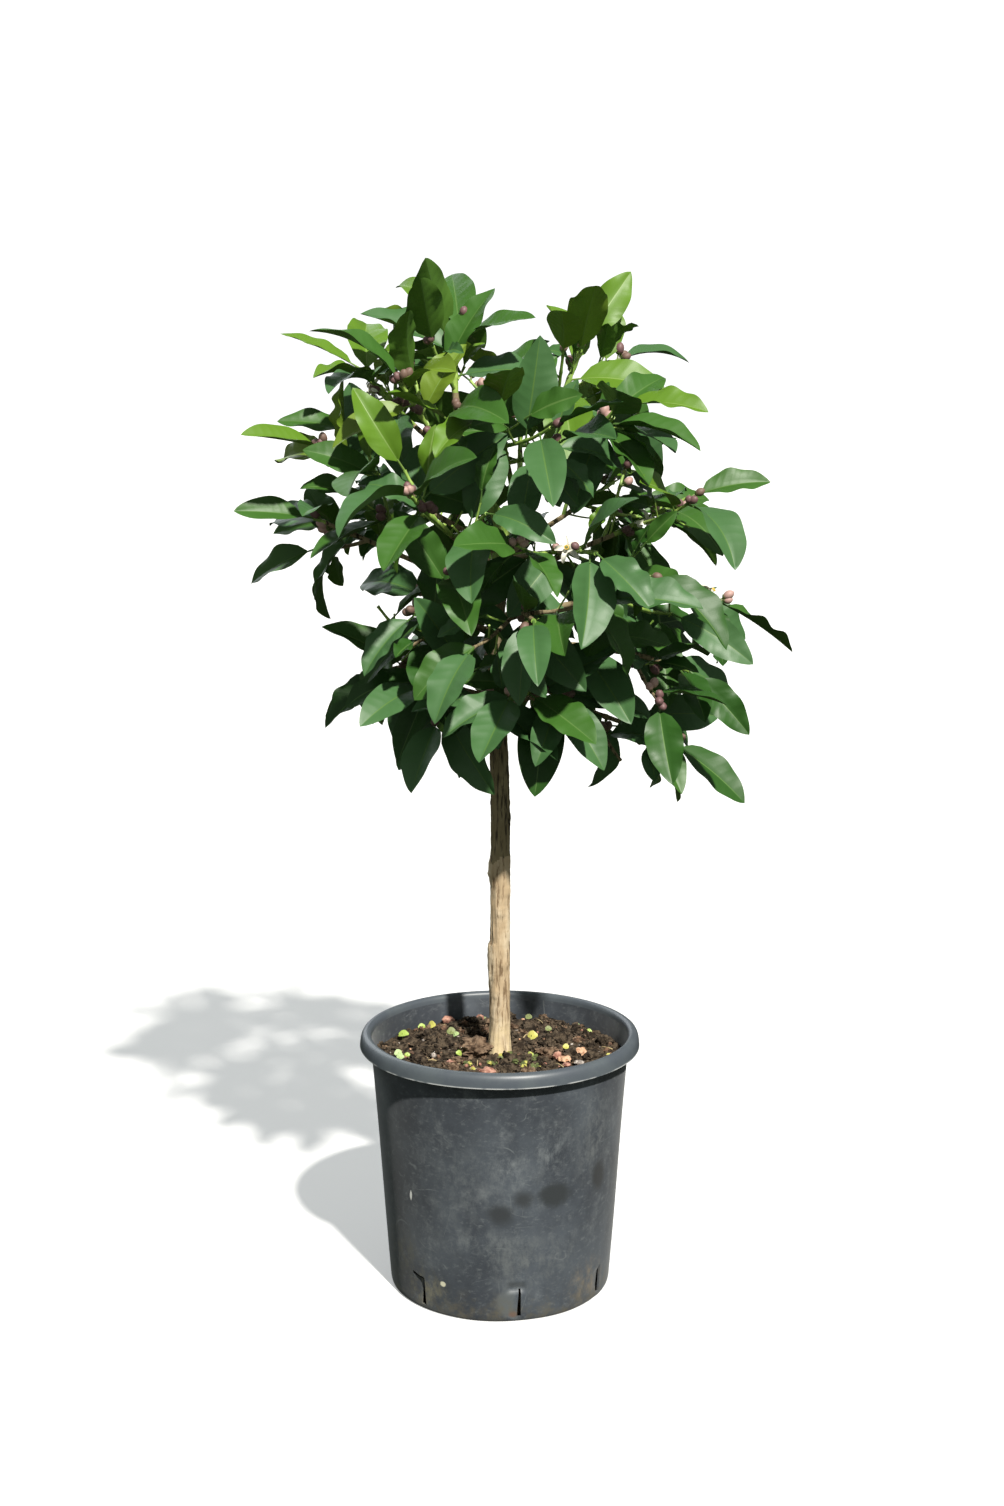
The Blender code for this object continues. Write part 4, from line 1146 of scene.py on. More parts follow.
def dress(tree, colour, height, strength, distance):
    """Give the shader its colour, and fine relief from a height."""
    shader = tree.nodes["Principled BSDF"]
    bump = add_node(tree, "Bump", {"Strength": strength, "Distance": distance, "Height": height})
    feed(tree, shader.inputs["Base Color"], colour)
    feed(tree, shader.inputs["Normal"], bump.outputs["Normal"])


def plain_material(name, colour, roughness, grain, specular=0.5):
    """One colour, with fine relief from noise: the grain is its scale, strength and distance."""
    tree = new_material(name, roughness, specular)
    dress(tree, colour, placed_noise(tree, grain[0]), *grain[1:])


def mottled_material(name, dark, light, scale, stretch, roughness, grain, specular):
    """Two colours mingled by noise, with fine relief from a second noise."""
    tree = new_material(name, roughness, specular)
    share = stepped(tree, placed_noise(tree, scale, stretch), *MOTTLE_RANGE)
    dress(tree, mixed(tree, share, dark, light), placed_noise(tree, grain[0], stretch), *grain[1:])


def hairline(tree, value):
    """1 along a thin line where a noise passes its middle, and 0 elsewhere."""
    near = result(tree, "Math", "ABSOLUTE", result(tree, "Math", "SUBTRACT", value, NOISE_MIDDLE))
    return stepped(tree, near, HAIRLINE_WIDTH, 0.0)


def pot_mark(tree, middle, reach, blur):
    """How much of a blot with an uneven edge covers a point: 1 inside and 0 outside."""
    apart = result(tree, "VectorMath", "SUBTRACT", point_in(tree), middle)
    share = result(tree, "VectorMath", "DIVIDE", apart, reach)
    far = result(tree, "VectorMath", "LENGTH", share, output=1)
    ragged = result(tree, "Math", "ADD", far, placed_noise(tree, *POT_MARK_NOISE))
    return stepped(tree, ragged, POT_MARK_EDGE + blur, POT_MARK_EDGE - blur)


def pot_material():
    """Charcoal plastic with clouds, pale wiped scuffs, hairlines, marks, and soil dust towards the foot."""
    tree = new_material("pot_plastic", POT_ROUGHNESS, POT_SPECULAR, POT_SHEEN)
    colour = mixed(tree, pattern(tree, *POT_CLOUDS), POT_DARK, POT_LIGHT)
    for scuffs in (POT_SCUFFS, POT_SPECKS):
        colour = mixed(tree, pattern(tree, *scuffs), colour, POT_SCUFF)
    for scale, stretch in POT_HAIRLINES:
        hair = hairline(tree, placed_noise(tree, scale, stretch, 0.0))
        here = stepped(tree, placed_noise(tree, HAIRLINE_BREAKS * scale, stretch, 3.0), *HAIRLINE_RANGE)
        colour = mixed(tree, product(tree, hair, here), colour, POT_HAIRLINE)
    broken = pattern(tree, *POT_WISP_NOISE)
    for middle, reach, tone in POT_WISPS:
        wisp = product(tree, broken, pot_mark(tree, middle, reach, POT_WISP_BLUR))
        colour = mixed(tree, wisp, colour, tone)
    for middle, reach, blur, tone in POT_MARKS:
        colour = mixed(tree, pot_mark(tree, middle, reach, blur), colour, tone)
    dirt = product(tree, by_z(tree, POT_DIRT_HEIGHT, 0.0), pattern(tree, *POT_DIRT_NOISE))
    grain, *relief = POT_GRAIN
    dress(tree, mixed(tree, dirt, colour, POT_DIRT), placed_noise(tree, grain), *relief)


def lip_material():
    """The lip's plastic, painted lighter than the wall as painted light on its roll, and pale along its sharp
    lower edge: partly wear, partly a painted highlight.
    """
    tree = new_material("pot_lip", LIP_ROUGHNESS)
    # Painted light: the lip's tones are lighter than the wall's
    colour = mixed(tree, pattern(tree, *LIP_CLOUDS), POT_LIGHT, LIP_PAINTED_LIGHT)
    # Pale band along the sharp lower edge: partly wear, partly a painted highlight
    worn_and_lit = product(tree, by_z(tree, *LIP_WEAR_AND_HIGHLIGHT_HEIGHTS), pattern(tree, *LIP_WEAR_AND_HIGHLIGHT_NOISE))
    grain, *relief = LIP_GRAIN
    dress(tree, mixed(tree, worn_and_lit, colour, LIP_WEAR_AND_HIGHLIGHT), placed_noise(tree, grain), *relief)


def bark_material(name, crack, ridge, dust):
    """Bark with upright cracks, tan ridges and pale weathered patches, rubbed smooth at the trunk's foot."""
    tree = new_material(name, BARK_ROUGHNESS, BARK_SPECULAR)
    fissures = placed_noise(tree, *BARK_FISSURES)
    colour = mixed(tree, pattern(tree, *BARK_PATCHES), ridge, dust)
    colour = mixed(tree, pattern(tree, *BARK_CRAZING), colour, ridge)
    colour = mixed(tree, stepped(tree, fissures, *BARK_FISSURE_RANGE), crack, colour)
    rubbed = product(tree, by_z(tree, *BARK_FOOT_HEIGHTS), pattern(tree, *BARK_FOOT_NOISE))
    dress(tree, mixed(tree, rubbed, colour, BARK_FOOT), fissures, *BARK_BUMP)


def make_materials():
    """Every finish of the part."""
    pot_material()
    lip_material()
    for name, colours in BARKS.items():
        bark_material(name, *colours)
    for name, values in MOTTLED.items():
        mottled_material(name, *values)
    for name, colour in LEAF_TINTS.items():
        plain_material(name, colour, LEAF_ROUGHNESS, LEAF_GRAIN, LEAF_SPECULAR)
    for name, (colour, roughness) in SMALL_FINISHES.items():
        plain_material(name, colour, roughness, SMALL_GRAIN)


def blade_grid(leaf, rows, columns, shape):
    """Points of a leaf blade's upper and lower side, as arrays of rows across the midrib."""
    along = np.linspace(0.0, 1.0, rows + 1)[:-1, None] * BLADE_END
    side = np.array(columns)[None, :]
    away = np.abs(side)
    skew = VEIN_SKEW * (1.0 - along) * away ** VEIN_SKEW_POWER * np.minimum(1.0, along / VEIN_SKEW_START)
    place = along + skew
    rise = BLADE_TAPER * LEAF_WIDEST / (1.0 - LEAF_WIDEST)
    peak = LEAF_WIDEST ** rise * (1.0 - LEAF_WIDEST) ** BLADE_TAPER
    half = leaf.width / 2.0 * place ** rise * np.maximum(0.0, 1.0 - place) ** BLADE_TAPER / peak
    half = np.maximum(half, STALK_WIDTH / 2.0 * (1.0 - place))
    across = half * side * cos(leaf.fold)
    lift = half * sin(leaf.fold) * (FOLD_NEAR * away - (FOLD_NEAR - FOLD_EDGE) * away ** 2)
    wave = np.sin(tau * (place * shape.waves + shape.phase * np.sign(side)))
    lift = lift + wave * shape.wave * away ** 3 * np.sin(pi * place)
    vein = np.where(np.arange(rows)[:, None] % VEIN_ROWS == 0, -1.0, VEIN_BULGE)
    quilt = vein * VEIN_DEPTH * 4.0 * away * (1.0 - away) * np.sin(pi * place)
    rib = np.where(away < RIB_BAND, 1.0, 0.0) * RIB_RELIEF * (1.0 - place)
    thick = LEAF_SHEET * (SHEET_LEAST + (1.0 - SHEET_LEAST) * np.sin(pi * np.minimum(1.0, place * 0.9 + 0.1)))
    bend = leaf.arch * place
    reach = leaf.length / leaf.arch
    forward = reach * np.sin(bend)
    down = reach * (1.0 - np.cos(bend))
    sway = shape.sway * leaf.length * place ** 2
    turn = shape.twist * place
    base = np.array(leaf.root + leaf.heading * STALK_LENGTH)
    heading = np.array(leaf.heading)
    normal = np.array(leaf.normal)
    sides = []
    for height in (lift + quilt - rib * RIB_ABOVE, lift + quilt - thick * (away < 1.0) - rib):
        level = across * np.cos(turn) - height * np.sin(turn) + sway
        stand = across * np.sin(turn) + height * np.cos(turn)
        ahead = forward + stand * np.sin(bend)
        up = stand * np.cos(bend) - down
        sides.append(base + ahead[..., None] * heading + level[..., None] * np.cross(normal, heading)
                     + up[..., None] * normal)
    return sides


def add_leaf(piece, leaf, tint, shape, rows=BLADE_ROWS, columns=BLADE_COLUMNS):
    """One leaf: both sides of its blade, a raised midrib, and its stalk."""
    upper, lower = blade_grid(leaf, rows, columns, shape)
    count = len(columns)
    across = leaf.normal.cross(leaf.heading)
    tip = leaf_section(leaf, 1.0)[0] + across * shape.sway * leaf.length
    points = [*upper.reshape(-1, 3), *lower[:, 1:-1].reshape(-1, 3), tip]
    under = rows * count
    last = len(points) - 1

    def below(row, column):
        if column in (0, count - 1):
            return row * count + column
        return under + row * (count - 2) + column - 1

    faces, slots = [], []
    for column in range(count - 1):
        rib = abs(columns[column] + columns[column + 1]) < RIB_EDGE
        for row in range(rows - 1):
            first = row * count + column
            faces.append((first, first + 1, first + count + 1, first + count))
            faces.append((below(row, column), below(row + 1, column),
                          below(row + 1, column + 1), below(row, column + 1)))
            slots += [tint.rib, tint.rib] if rib else [tint.upper, tint.under]
        first = (rows - 1) * count + column
        faces.append((first, first + 1, last))
        faces.append((below(rows - 1, column + 1), below(rows - 1, column), last))
        slots += [tint.upper, tint.under]
    piece.add(points, faces, slots)
    stalk = Curve(leaf.root, leaf.root + leaf.heading * STALK_LENGTH * 0.5,
                  leaf.root + leaf.heading * STALK_LENGTH * STALK_OVERLAP)
    add_tube(piece, stalk, lambda share: STALK_RADIUS * blend(STALK_TAPER, share), *STALK_MESH, tint.rib)


def add_tube(piece, curve, radius_at, sides, steps, slot, jitter=0.0, seed=0.0):
    """A limb along a curve: radius_at gives its radius at each share of its way."""
    rings = []
    for share, centre, across, other in sections(curve, steps):
        if jitter:
            spot = centre * LIMB_NOISE_SCALE + Vector((seed, seed * 0.7, 0.0))
            centre = centre + noise.noise_vector(spot) * jitter * sin(pi * share)
        ring = []
        for out in spokes(across, other, sides):
            radius = radius_at(share)
            if jitter:
                radius *= 1.0 + LIMB_ROUGH * noise.noise((centre + out * radius) * LIMB_GRAIN_SCALE)
            ring.append(centre + out * radius)
        rings.append(ring)
    slots = slot if isinstance(slot, int) else [slot(0.0)] + [
        slot((row + 0.5) / steps) for row in range(steps) for _ in range(sides)] + [slot(1.0)]
    piece.add(*loft(rings), slots)


def turned_mesh(profile, sides, shift):
    """A solid turned round Z from (radius, height), with each point moved by a rule."""
    points, faces, rows = [], [], []
    for radius, height in profile:
        count = 1 if radius == 0.0 else sides
        rows.append(range(len(points), len(points) + count))
        for side in range(count):
            turn = tau * side / sides
            points.append(tuple(shift(Vector((radius * sin(turn), -radius * cos(turn), height)))))
    for row, above in zip(rows, rows[1:]):
        for side in range(sides):
            after = (side + 1) % sides
            ring = [row[side % len(row)], row[after % len(row)],
                    above[after % len(above)], above[side % len(above)]]
            faces.append(tuple(dict.fromkeys(ring)))
    return points, faces


def add_turned(piece, root, heading, profile, sides, slot, ribs=0.0):
    """A small turned form, such as a bud, from a profile of (distance, radius) along its heading."""
    across = heading.orthogonal().normalized()
    other = heading.cross(across)

    def stand(point):
        bulge = 1.0 + ribs * cos(RIB_COUNT * atan2(point.x, -point.y))
        return root + heading * point.z + (other * point.x - across * point.y) * bulge

    piece.add(*turned_mesh([(radius, distance) for distance, radius in profile], sides, stand), slot)


def two_sided(rows, columns):
    """Faces of a sheet whose upper and lower points lie in two grids, one after the other."""
    faces = []
    for row in range(rows - 1):
        for column in range(columns - 1):
            first = row * columns + column
            quad = (first, first + 1, first + columns + 1, first + columns)
            faces += [quad, tuple(rows * columns + corner for corner in reversed(quad))]
    return faces


def deal_tint(rng, place):
    """A spray's tint: brighter towards the top and the outside as painted sunlight and light through the
    leaves, deeper inside and below as painted shade.
    """
    high = clamp((place.z - SUN_LOW) / SUN_HEIGHT)
    out = clamp(hypot(place.x, place.y) / SUN_REACH)
    sun = SUN_HIGH_SHARE * high + SUN_OUT_SHARE * out + rng.uniform(-SUN_CHANCE, SUN_CHANCE)
    for least, chance, tint, other in TINTS_BY_SUN:
        if sun > least:
            return tint if rng.random() < chance else other


def blade_shape(rng):
    """How one blade waves, sways and twists."""
    return BladeShape(rng.uniform(*LEAF_WAVES), rng.random(), rng.uniform(*LEAF_WAVE),
                      rng.uniform(-LEAF_SWAY, LEAF_SWAY), rng.uniform(-LEAF_TWIST, LEAF_TWIST))


def grow_fine(mass, taken):
    """Finer twigs and young leaves of one mass that find room inside its box."""
    low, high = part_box("foliage_" + mass.branch.name)
    low = low + Vector((FINE_INSET,) * 3)
    high = high - Vector((FINE_INSET,) * 3)
    rng = random.Random(mass.branch.seed + FINE_SEED)
    wider = tuple(radius + CLEAR for radius in FINE_RADII)
    twigs, leaves = [], []
    for limb, _ in mass.limbs:
        turn = rng.uniform(0.0, tau)
        for place in FINE_PLACES:
            turn += GOLDEN_ANGLE
            twig = side_twig(rng, limb, place, turn, FINE_ANGLE, FINE_LENGTH, FINE_LIFT)
            outer = curve_part(twig, SHOOT_GUARD_START, 1.0)
            if not is_free(tube(outer, wider, SHOOT_SIDES, SHOOT_STEPS), taken, low, high):
                continue
            grown = []
            bare = rng.random() < (FINE_BARE_LOW if twig.end.z < FINE_BARE_HEIGHT else FINE_BARE)
            for share in () if bare else FINE_LEAF_PLACES:
                leaf = new_leaf(rng, twig, share, turn + share, LEAF_ANGLE_HIGH * (FINE_LEAF_SPREAD - share))
                length = rng.uniform(*FINE_LEAF_LENGTH)
                leaf = leaf._replace(length=length, width=leaf.width * length / leaf.length)
                if is_free(leaf_guard(leaf, LEAF_GUARD_START), taken, low, high):
                    grown.append(leaf)
                    taken.append(fence(leaf_skin(leaf)))
            if grown or bare:
                twigs.append(twig)
                leaves += grown
                taken.append(fence(tube(twig, FINE_RADII, SHOOT_SIDES, SHOOT_STEPS)))
    return twigs, leaves


def make_leaves(masses, fine):
    """Leaf blades and stalks in three pieces by the height of their masses."""
    ordered = sorted(masses, key=lambda mass: mass.branch.tip[2])
    third = (len(ordered) + 2) // 3
    for number, name in enumerate(("leaves_low", "leaves_middle", "leaves_top")):
        piece = Piece()
        group = ordered[number * third:(number + 1) * third]
        for mass in group:
            rng = random.Random(mass.branch.seed)
            tint = deal_tint(rng, mass.limbs[0][0].end)
            for leaf in mass.leaves:
                if rng.random() < NEW_TINT_CHANCE:
                    tint = deal_tint(rng, leaf_section(leaf, 0.5)[0])
                add_leaf(piece, leaf, tint, blade_shape(rng))
            for leaf in fine[mass.branch.name][1]:
                own = tint if rng.random() < SAME_TINT_CHANCE else deal_tint(rng, leaf_section(leaf, 0.5)[0])
                add_leaf(piece, leaf, own, blade_shape(rng), SMALL_ROWS, SMALL_COLUMNS)
        piece.build(name, LEAF_TINTS, "leaf", ["foliage_" + mass.branch.name for mass in group])


def node_radius(radii, places):
    """Radius along a twig, swollen a little where leaves stand."""
    def radius_at(share):
        swell = sum(exp(-((share - place) / NODE_SPREAD) ** 2) for place in places)
        return blend(radii, share) * (1.0 + NODE_SWELL * min(1.0, swell))
    return radius_at


def make_twigs(masses, fine):
    """Stems, shoots and fine twigs: green where young, brown where old."""
    piece = Piece()
    green, brown = 0, 1
    for mass in masses:
        old = mass.branch.parent == "trunk" and mass.branch.start < OLD_WOOD_HEIGHT
        rng = random.Random(mass.branch.seed)
        browned = rng.uniform(*(BROWNED_OLD if old else BROWNED_YOUNG))
        (stem, _), shoots = mass.limbs[0], mass.limbs[1:]
        radii = (bough_radii(mass.branch)[1], STEM_END_RADIUS)
        add_tube(piece, stem, node_radius(radii, STEM_LEAF_PLACES), *STEM_MESH,
                 lambda share: brown if share < browned else green, STEM_JITTER, mass.branch.seed)
        for shoot, _ in shoots:
            slot = brown if old and rng.random() < BROWN_SHOOT_CHANCE else green
            add_tube(piece, shoot, node_radius(SHOOT_RADII, SHOOT_LEAF_PLACES), *SHOOT_MESH, slot,
                     SHOOT_JITTER, mass.branch.seed)
        for twig in fine[mass.branch.name][0]:
            add_tube(piece, twig, node_radius(FINE_RADII, (0.0, 1.0)), *FINE_MESH, green)
    piece.build("twigs", ("green_wood", "bark_dark_and_shade"), "green_wood")


def make_boughs(masses):
    """Each bough with a collar where it leaves its parent, brown or green."""
    piece = Piece()
    for mass in masses:
        radii = bough_radii(mass.branch)
        length = (mass.bough.end - mass.bough.start).length

        def radius_at(share):
            return blend(radii, share) * (1.0 + COLLAR * exp(-share * length / COLLAR_SPREAD))

        green = mass.branch.parent != "trunk" or mass.branch in LEADERS
        steps = max(BOUGH_RINGS_LEAST, round(length / BOUGH_RING))
        add_tube(piece, mass.bough, radius_at, BOUGH_ROUND, steps, 0 if green else 1, BOUGH_JITTER,
                 mass.branch.seed)
    nodes = ["bough_" + mass.branch.name for mass in masses]
    piece.build("boughs", ("green_wood", "bark_dark_and_shade"), "bark", nodes)


def noise_at(point, scales):
    """Noise at a point, with a scale of its own along each axis."""
    return noise.noise(Vector(place * scale for place, scale in zip(point, scales)))


def bark_height(point, knots):
    """How far the bark stands out at a point of the trunk."""
    ridge, fine, ring = (noise_at(point, scales) for scales in BARK_SCALES)
    height = BARK_RELIEF * (1.0 - 3.0 * abs(ridge)) + BARK_FINE * fine + BARK_RING * ring
    for spot, size in knots:
        apart = point - spot
        far = Vector((apart.x, apart.y, apart.z * KNOT_SQUAT)).length / size
        if far < KNOT_REACH:
            hollow = 1.0 - KNOT_HOLLOW * exp(-far * far * KNOT_HOLLOW_FALL)
            height += KNOT_RISE * exp(-far * far * KNOT_FALL) * hollow
    return height


def trunk_ring(height, knots):
    """One ring of the bark's skin, drawn in to a dome at the fork."""
    centre = trunk_centre(height)
    dome = sqrt(max(DOME_LEAST, 1.0 - max(0.0, (height - TRUNK_TOP + DOME_START) / DOME_HEIGHT) ** 2))
    rough = min(1.0, max(GREEN_BARK_SHARE, (TRUNK_GREEN_HEIGHT - height) / TRUNK_BLEND))
    ring = []
    for side in range(TRUNK_ROUND):
        turn = tau * side / TRUNK_ROUND
        out = Vector((cos(turn), sin(turn), 0.0))
        left = max(0.0, -cos(turn))
        point = centre + out * (trunk_radius(max(height, TRUNK_BASE), left) * dome)
        ledge = sum(left * LEDGE_OUT * clamp((top - height) / LEDGE_FALL) * exp((height - top) / fade)
                    for top, fade in LEDGES if height < top)
        ring.append(point + out * (bark_height(point, knots) * rough + ledge))
    return ring


def make_trunk():
    """The trunk with fissured bark, scars of trimmed shoots, painted shade of the crown on its upper part,
    and young green wood at its fork.
    """
    rng = random.Random(KNOT_SEED)
    places = [(rng.uniform(*KNOT_HEIGHTS), rng.uniform(0.0, tau), rng.uniform(*KNOT_SIZE))
              for _ in range(KNOTS)]
    places += [(height, turn, STEM_KNOT_SIZE) for height, turn in STEM_KNOTS]
    knots = []
    for height, turn, size in places:
        out = Vector((cos(turn), sin(turn), 0.0))
        knots.append((trunk_centre(height) + out * trunk_radius(height), size))
    rows = int((TRUNK_TOP - TRUNK_BASE + TRUNK_SUNK) / TRUNK_RING)
    rings = [trunk_ring(TRUNK_BASE - TRUNK_SUNK + TRUNK_RING * row, knots) for row in range(rows + 1)]
    # Tan below the shade height; above it the dark bark stands in as painted shade of the crown
    tan, brown, green = range(3)
    slots = [tan]
    for spot in (point for ring in rings[:-1] for point in ring):
        ragged = spot.z + TRUNK_BLEND * noise_at(spot, TRUNK_BLEND_SCALES)
        slots.append(tan if ragged < TRUNK_PAINTED_SHADE_HEIGHT else brown if ragged < TRUNK_GREEN_HEIGHT else green)
    slots.append(green)
    piece = Piece()
    piece.add(*loft(rings), slots)
    piece.build("trunk_bark", ("bark_tan", "bark_dark_and_shade", "green_wood"), "bark", ["trunk"])


def scaled(profile, start, length, radius):
    """A profile of shares made into real distances and radii."""
    return [(start + place * length, share * radius) for place, share in profile]


def add_bud(piece, root, heading, size, slot):
    """A flower bud on its stalk, with a small green cup under it."""
    stalk, length = BUD_STALK * size, BUD_LENGTH * size
    radius = BUD_RADIUS * (BUD_PLUMP + BUD_PLUMP_BY_SIZE * size)
    stem = [(-0.0004, 0.0), (0.0, 0.0008), (stalk, 0.0009), (stalk + 0.001, 0.0)]
    add_turned(piece, root, heading, stem, 6, CALYX_SLOT)
    add_turned(piece, root, heading, scaled(BUD_CUP, stalk, 1.0, radius), 10, CALYX_SLOT)
    add_turned(piece, root, heading, scaled(BUD_PROFILE, stalk, length, radius), BUD_ROUND, slot, BUD_RIBS)


def bud_cluster(piece, rng, root, heading, count, largest):
    """Buds that spread from one place."""
    slot = rng.choice(BUD_SLOTS)
    add_bud(piece, root, heading, largest, slot)
    turn = rng.uniform(0.0, tau)
    for _ in range(count - 1):
        turn += GOLDEN_ANGLE
        lean = rng.uniform(*BUD_LEAN)
        aim = (heading + turned_about(heading, turn) * lean).normalized()
        add_bud(piece, root, aim, largest * rng.uniform(*BUD_SIZES), slot)


def make_buds(masses):
    """Purple and pink flower buds at stem tips and leaf axils."""
    piece = Piece()
    rng = random.Random(BUD_SEED)
    for mass in masses:
        if mass.branch.name not in BLOSSOMS:
            for root, heading in mass.buds:
                bud_cluster(piece, rng, root, heading, rng.choice(CLUSTER_COUNTS), 1.0)
        for limb, _ in mass.limbs:
            if rng.random() < TIP_BUD_CHANCE:
                bud_cluster(piece, rng, limb.end, curve_heading(limb, 1.0), rng.choice(SMALL_CLUSTER_COUNTS),
                            TIP_BUD_SIZE)
        for leaf in mass.leaves:
            if rng.random() < AXIL_BUD_CHANCE:
                heading = (leaf.normal + leaf.heading * AXIL_BUD_LEAN).normalized()
                bud_cluster(piece, rng, leaf.root, heading, rng.choice(SMALL_CLUSTER_COUNTS),
                            rng.uniform(*AXIL_BUD_SIZES))
    piece.build("buds", ("bud_purple", "bud_pink", "bud_brown", "calyx"), "leaf")


def add_petal(piece, root, heading, outward, slot):
    """One petal that curls back from the flower's middle."""
    across = heading.cross(outward).normalized()
    rows, columns = PETAL_ROWS, PETAL_COLUMNS
    points = []
    for layer in (0.0, PETAL_THICKNESS):
        for row in range(rows):
            share = row / (rows - 1)
            bend = radians(PETAL_BEND[0] + PETAL_BEND[1] * share)
            reach = PETAL_LENGTH * share
            swell = sin(pi * min(1.0, share * 0.85 + 0.1))
            centre = root + (outward * sin(bend) + heading * cos(bend)) * reach
            half = PETAL_WIDTH * 0.5 * (PETAL_FOOT + (1.0 - PETAL_FOOT) * swell)
            if row == rows - 1:
                half *= PETAL_TIP
            for column in range(columns):
                side = column / (columns - 1) * 2.0 - 1.0
                cup = heading * (PETAL_CUP * side * side) + (outward + heading).normalized() * -layer
                points.append(centre + across * half * side + cup)
    last = rows - 1
    edge = [row * columns for row in range(rows)]
    edge += [last * columns + column for column in range(1, columns)]
    edge += [row * columns + columns - 1 for row in range(last - 1, -1, -1)]
    edge += [column for column in range(columns - 2, 0, -1)]
    size = rows * columns
    rim = [(after, corner, size + corner, size + after) for corner, after in zip(edge, edge[1:] + edge[:1])]
    piece.add(points, two_sided(rows, columns) + rim, slot)


def add_blossom(piece, root, heading):
    """An open flower: five petals, a ring of anthers and the pistil."""
    green, white, yellow = range(3)
    add_turned(piece, root, heading, FLOWER_STALK, 10, green)
    middle = root + heading * FLOWER_HEIGHT
    for number in range(PETALS):
        outward = turned_about(heading, tau * number / PETALS)
        add_petal(piece, middle + outward * PETAL_OUT, heading, outward, white)
    for number in range(ANTHERS):
        lean = turned_about(heading, tau * number / ANTHERS) * ANTHER_LEAN
        aim = (heading + lean).normalized()
        add_turned(piece, middle, aim, FILAMENT, 5, white)
        add_turned(piece, middle + aim * ANTHER_DISTANCE, aim, ANTHER, 6, yellow)
    add_turned(piece, middle, heading, PISTIL, 8, green)


def make_blossom(masses):
    """Open flowers on a few of the masses, each with two closed buds beside it."""
    piece = Piece()
    petal = 1
    length, radius = BUD_LENGTH * BLOSSOM_BUD_SIZE[0], BUD_RADIUS * BLOSSOM_BUD_SIZE[1]
    bud = scaled(BUD_PROFILE, BLOSSOM_BUD_START, length, radius)
    for mass in masses:
        for root, heading in mass.buds if mass.branch.name in BLOSSOMS else ():
            add_blossom(piece, root, heading)
            for turn in BLOSSOM_BUD_TURNS:
                aim = (heading + turned_about(heading, turn) * BLOSSOM_BUD_LEAN).normalized()
                add_turned(piece, root, aim, bud, BUD_ROUND, petal)
    piece.build("blossom", ("calyx", "petal", "anther"), "leaf")


def make_fruitlets(masses):
    """Small round fruitlets that stay on the older twigs."""
    piece = Piece()
    dull, purple, green = range(3)
    stems = {mass.branch.name: mass.limbs[0][0] for mass in masses}
    for number, (name, place, radius) in enumerate(FRUITS):
        root = curve_point(stems[name], place)
        aside = turned_about(curve_heading(stems[name], place), 0.6 + number)
        aim = (aside * 0.7 - UP * 0.7).normalized()
        add_turned(piece, root, aim, FRUIT_STALK, 10, green)
        add_turned(piece, root, aim, scaled(FRUIT_PROFILE, FRUIT_START, radius * 2.0, radius), 20,
                   purple if radius > PURPLE_FRUIT_RADIUS else dull, FRUIT_RIBS)
    piece.build("fruitlets", ("fruitlet", "fruitlet_purple", "calyx"), "leaf")


def wall_radius(height):
    """Outside radius of the pot's wall at a height."""
    return POT_FOOT_RADIUS + (POT_TOP_RADIUS - POT_FOOT_RADIUS) * height / POT_HEIGHT


def pot_profile():
    """The pot's section from the middle of its underside round to the middle of its floor."""
    profile = [(radius, 0.0) for radius in POT_FLOOR_RINGS]
    for step in range(FOOT_STEPS):
        turn = pi / 2.0 * step / (FOOT_STEPS - 1)
        profile.append((wall_radius(0.0) - FOOT_ROUND * (1.0 - sin(turn)),
                        FOOT_ROUND * (1.0 - cos(turn))))
    heights = []
    for low, high, steps in ((FOOT_ROUND, FINE_WALL_TOP, FINE_WALL_STEPS),
                             (FINE_WALL_TOP, LIP_SECTION[0][1], WALL_STEPS)):
        heights += [low + (high - low) * step / steps for step in range(1, steps + 1)]
    profile += [(wall_radius(height), height) for height in heights]
    profile += LIP_SECTION
    profile += [(wall_radius(height) - POT_WALL, height) for height in (*heights[-2::-1], POT_WALL)]
    return profile + [(radius, POT_WALL) for radius in reversed(POT_FLOOR_RINGS)]


def slot_turns():
    """Each drain slot's number and its turn round the pot, from the front to the right."""
    return [(number, SLOT_TURN + tau * number / SLOT_COUNT) for number in range(SLOT_COUNT)]


def pot_shift(point):
    """Slight dents of a thin wall, and the flap that is pressed in beside each slot."""
    far = hypot(point.x, point.y)
    if far < SLOT_CUT_INNER:
        return point
    out = Vector((point.x, point.y, 0.0)) / far
    dent = POT_DENT * noise_at((out.x, out.y, point.z), POT_DENT_SCALES)
    turn = atan2(point.x, -point.y)
    rise = (point.z - SLOT_LOW) / (SLOT_HIGH - SLOT_LOW)
    top, deepest, bottom = CREASE_HEIGHTS
    for number, slot_turn in slot_turns():
        apart = (turn - slot_turn + pi) % tau - pi
        beside = -apart * far / SLOT_ARM
        if 0.0 < beside < 1.0 and -FLAP_SLOPE < rise < 1.0:
            slope = max(0.0, rise) if number in ARMED_SLOTS else min(1.0, (1.0 - rise) / FLAP_SLOPE)
            foot = min(1.0, (rise + FLAP_SLOPE) * FLAP_FOOT_EDGE)
            dent -= FLAP_DEPTHS[number] * min(1.0, (1.0 - beside) * FLAP_EDGE) * slope * foot
        aside = abs(apart * far / CREASE_WIDTH + CREASE_ASIDE)
        if number in CREASED_SLOTS and aside < 1.0 and bottom < point.z < top:
            sunk = min((top - point.z) / (top - deepest), (point.z - bottom) / (deepest - bottom))
            dent -= CREASE_DEPTH * sunk * min(1.0, (1.0 - aside) * CREASE_EDGE)
    return point + out * dent


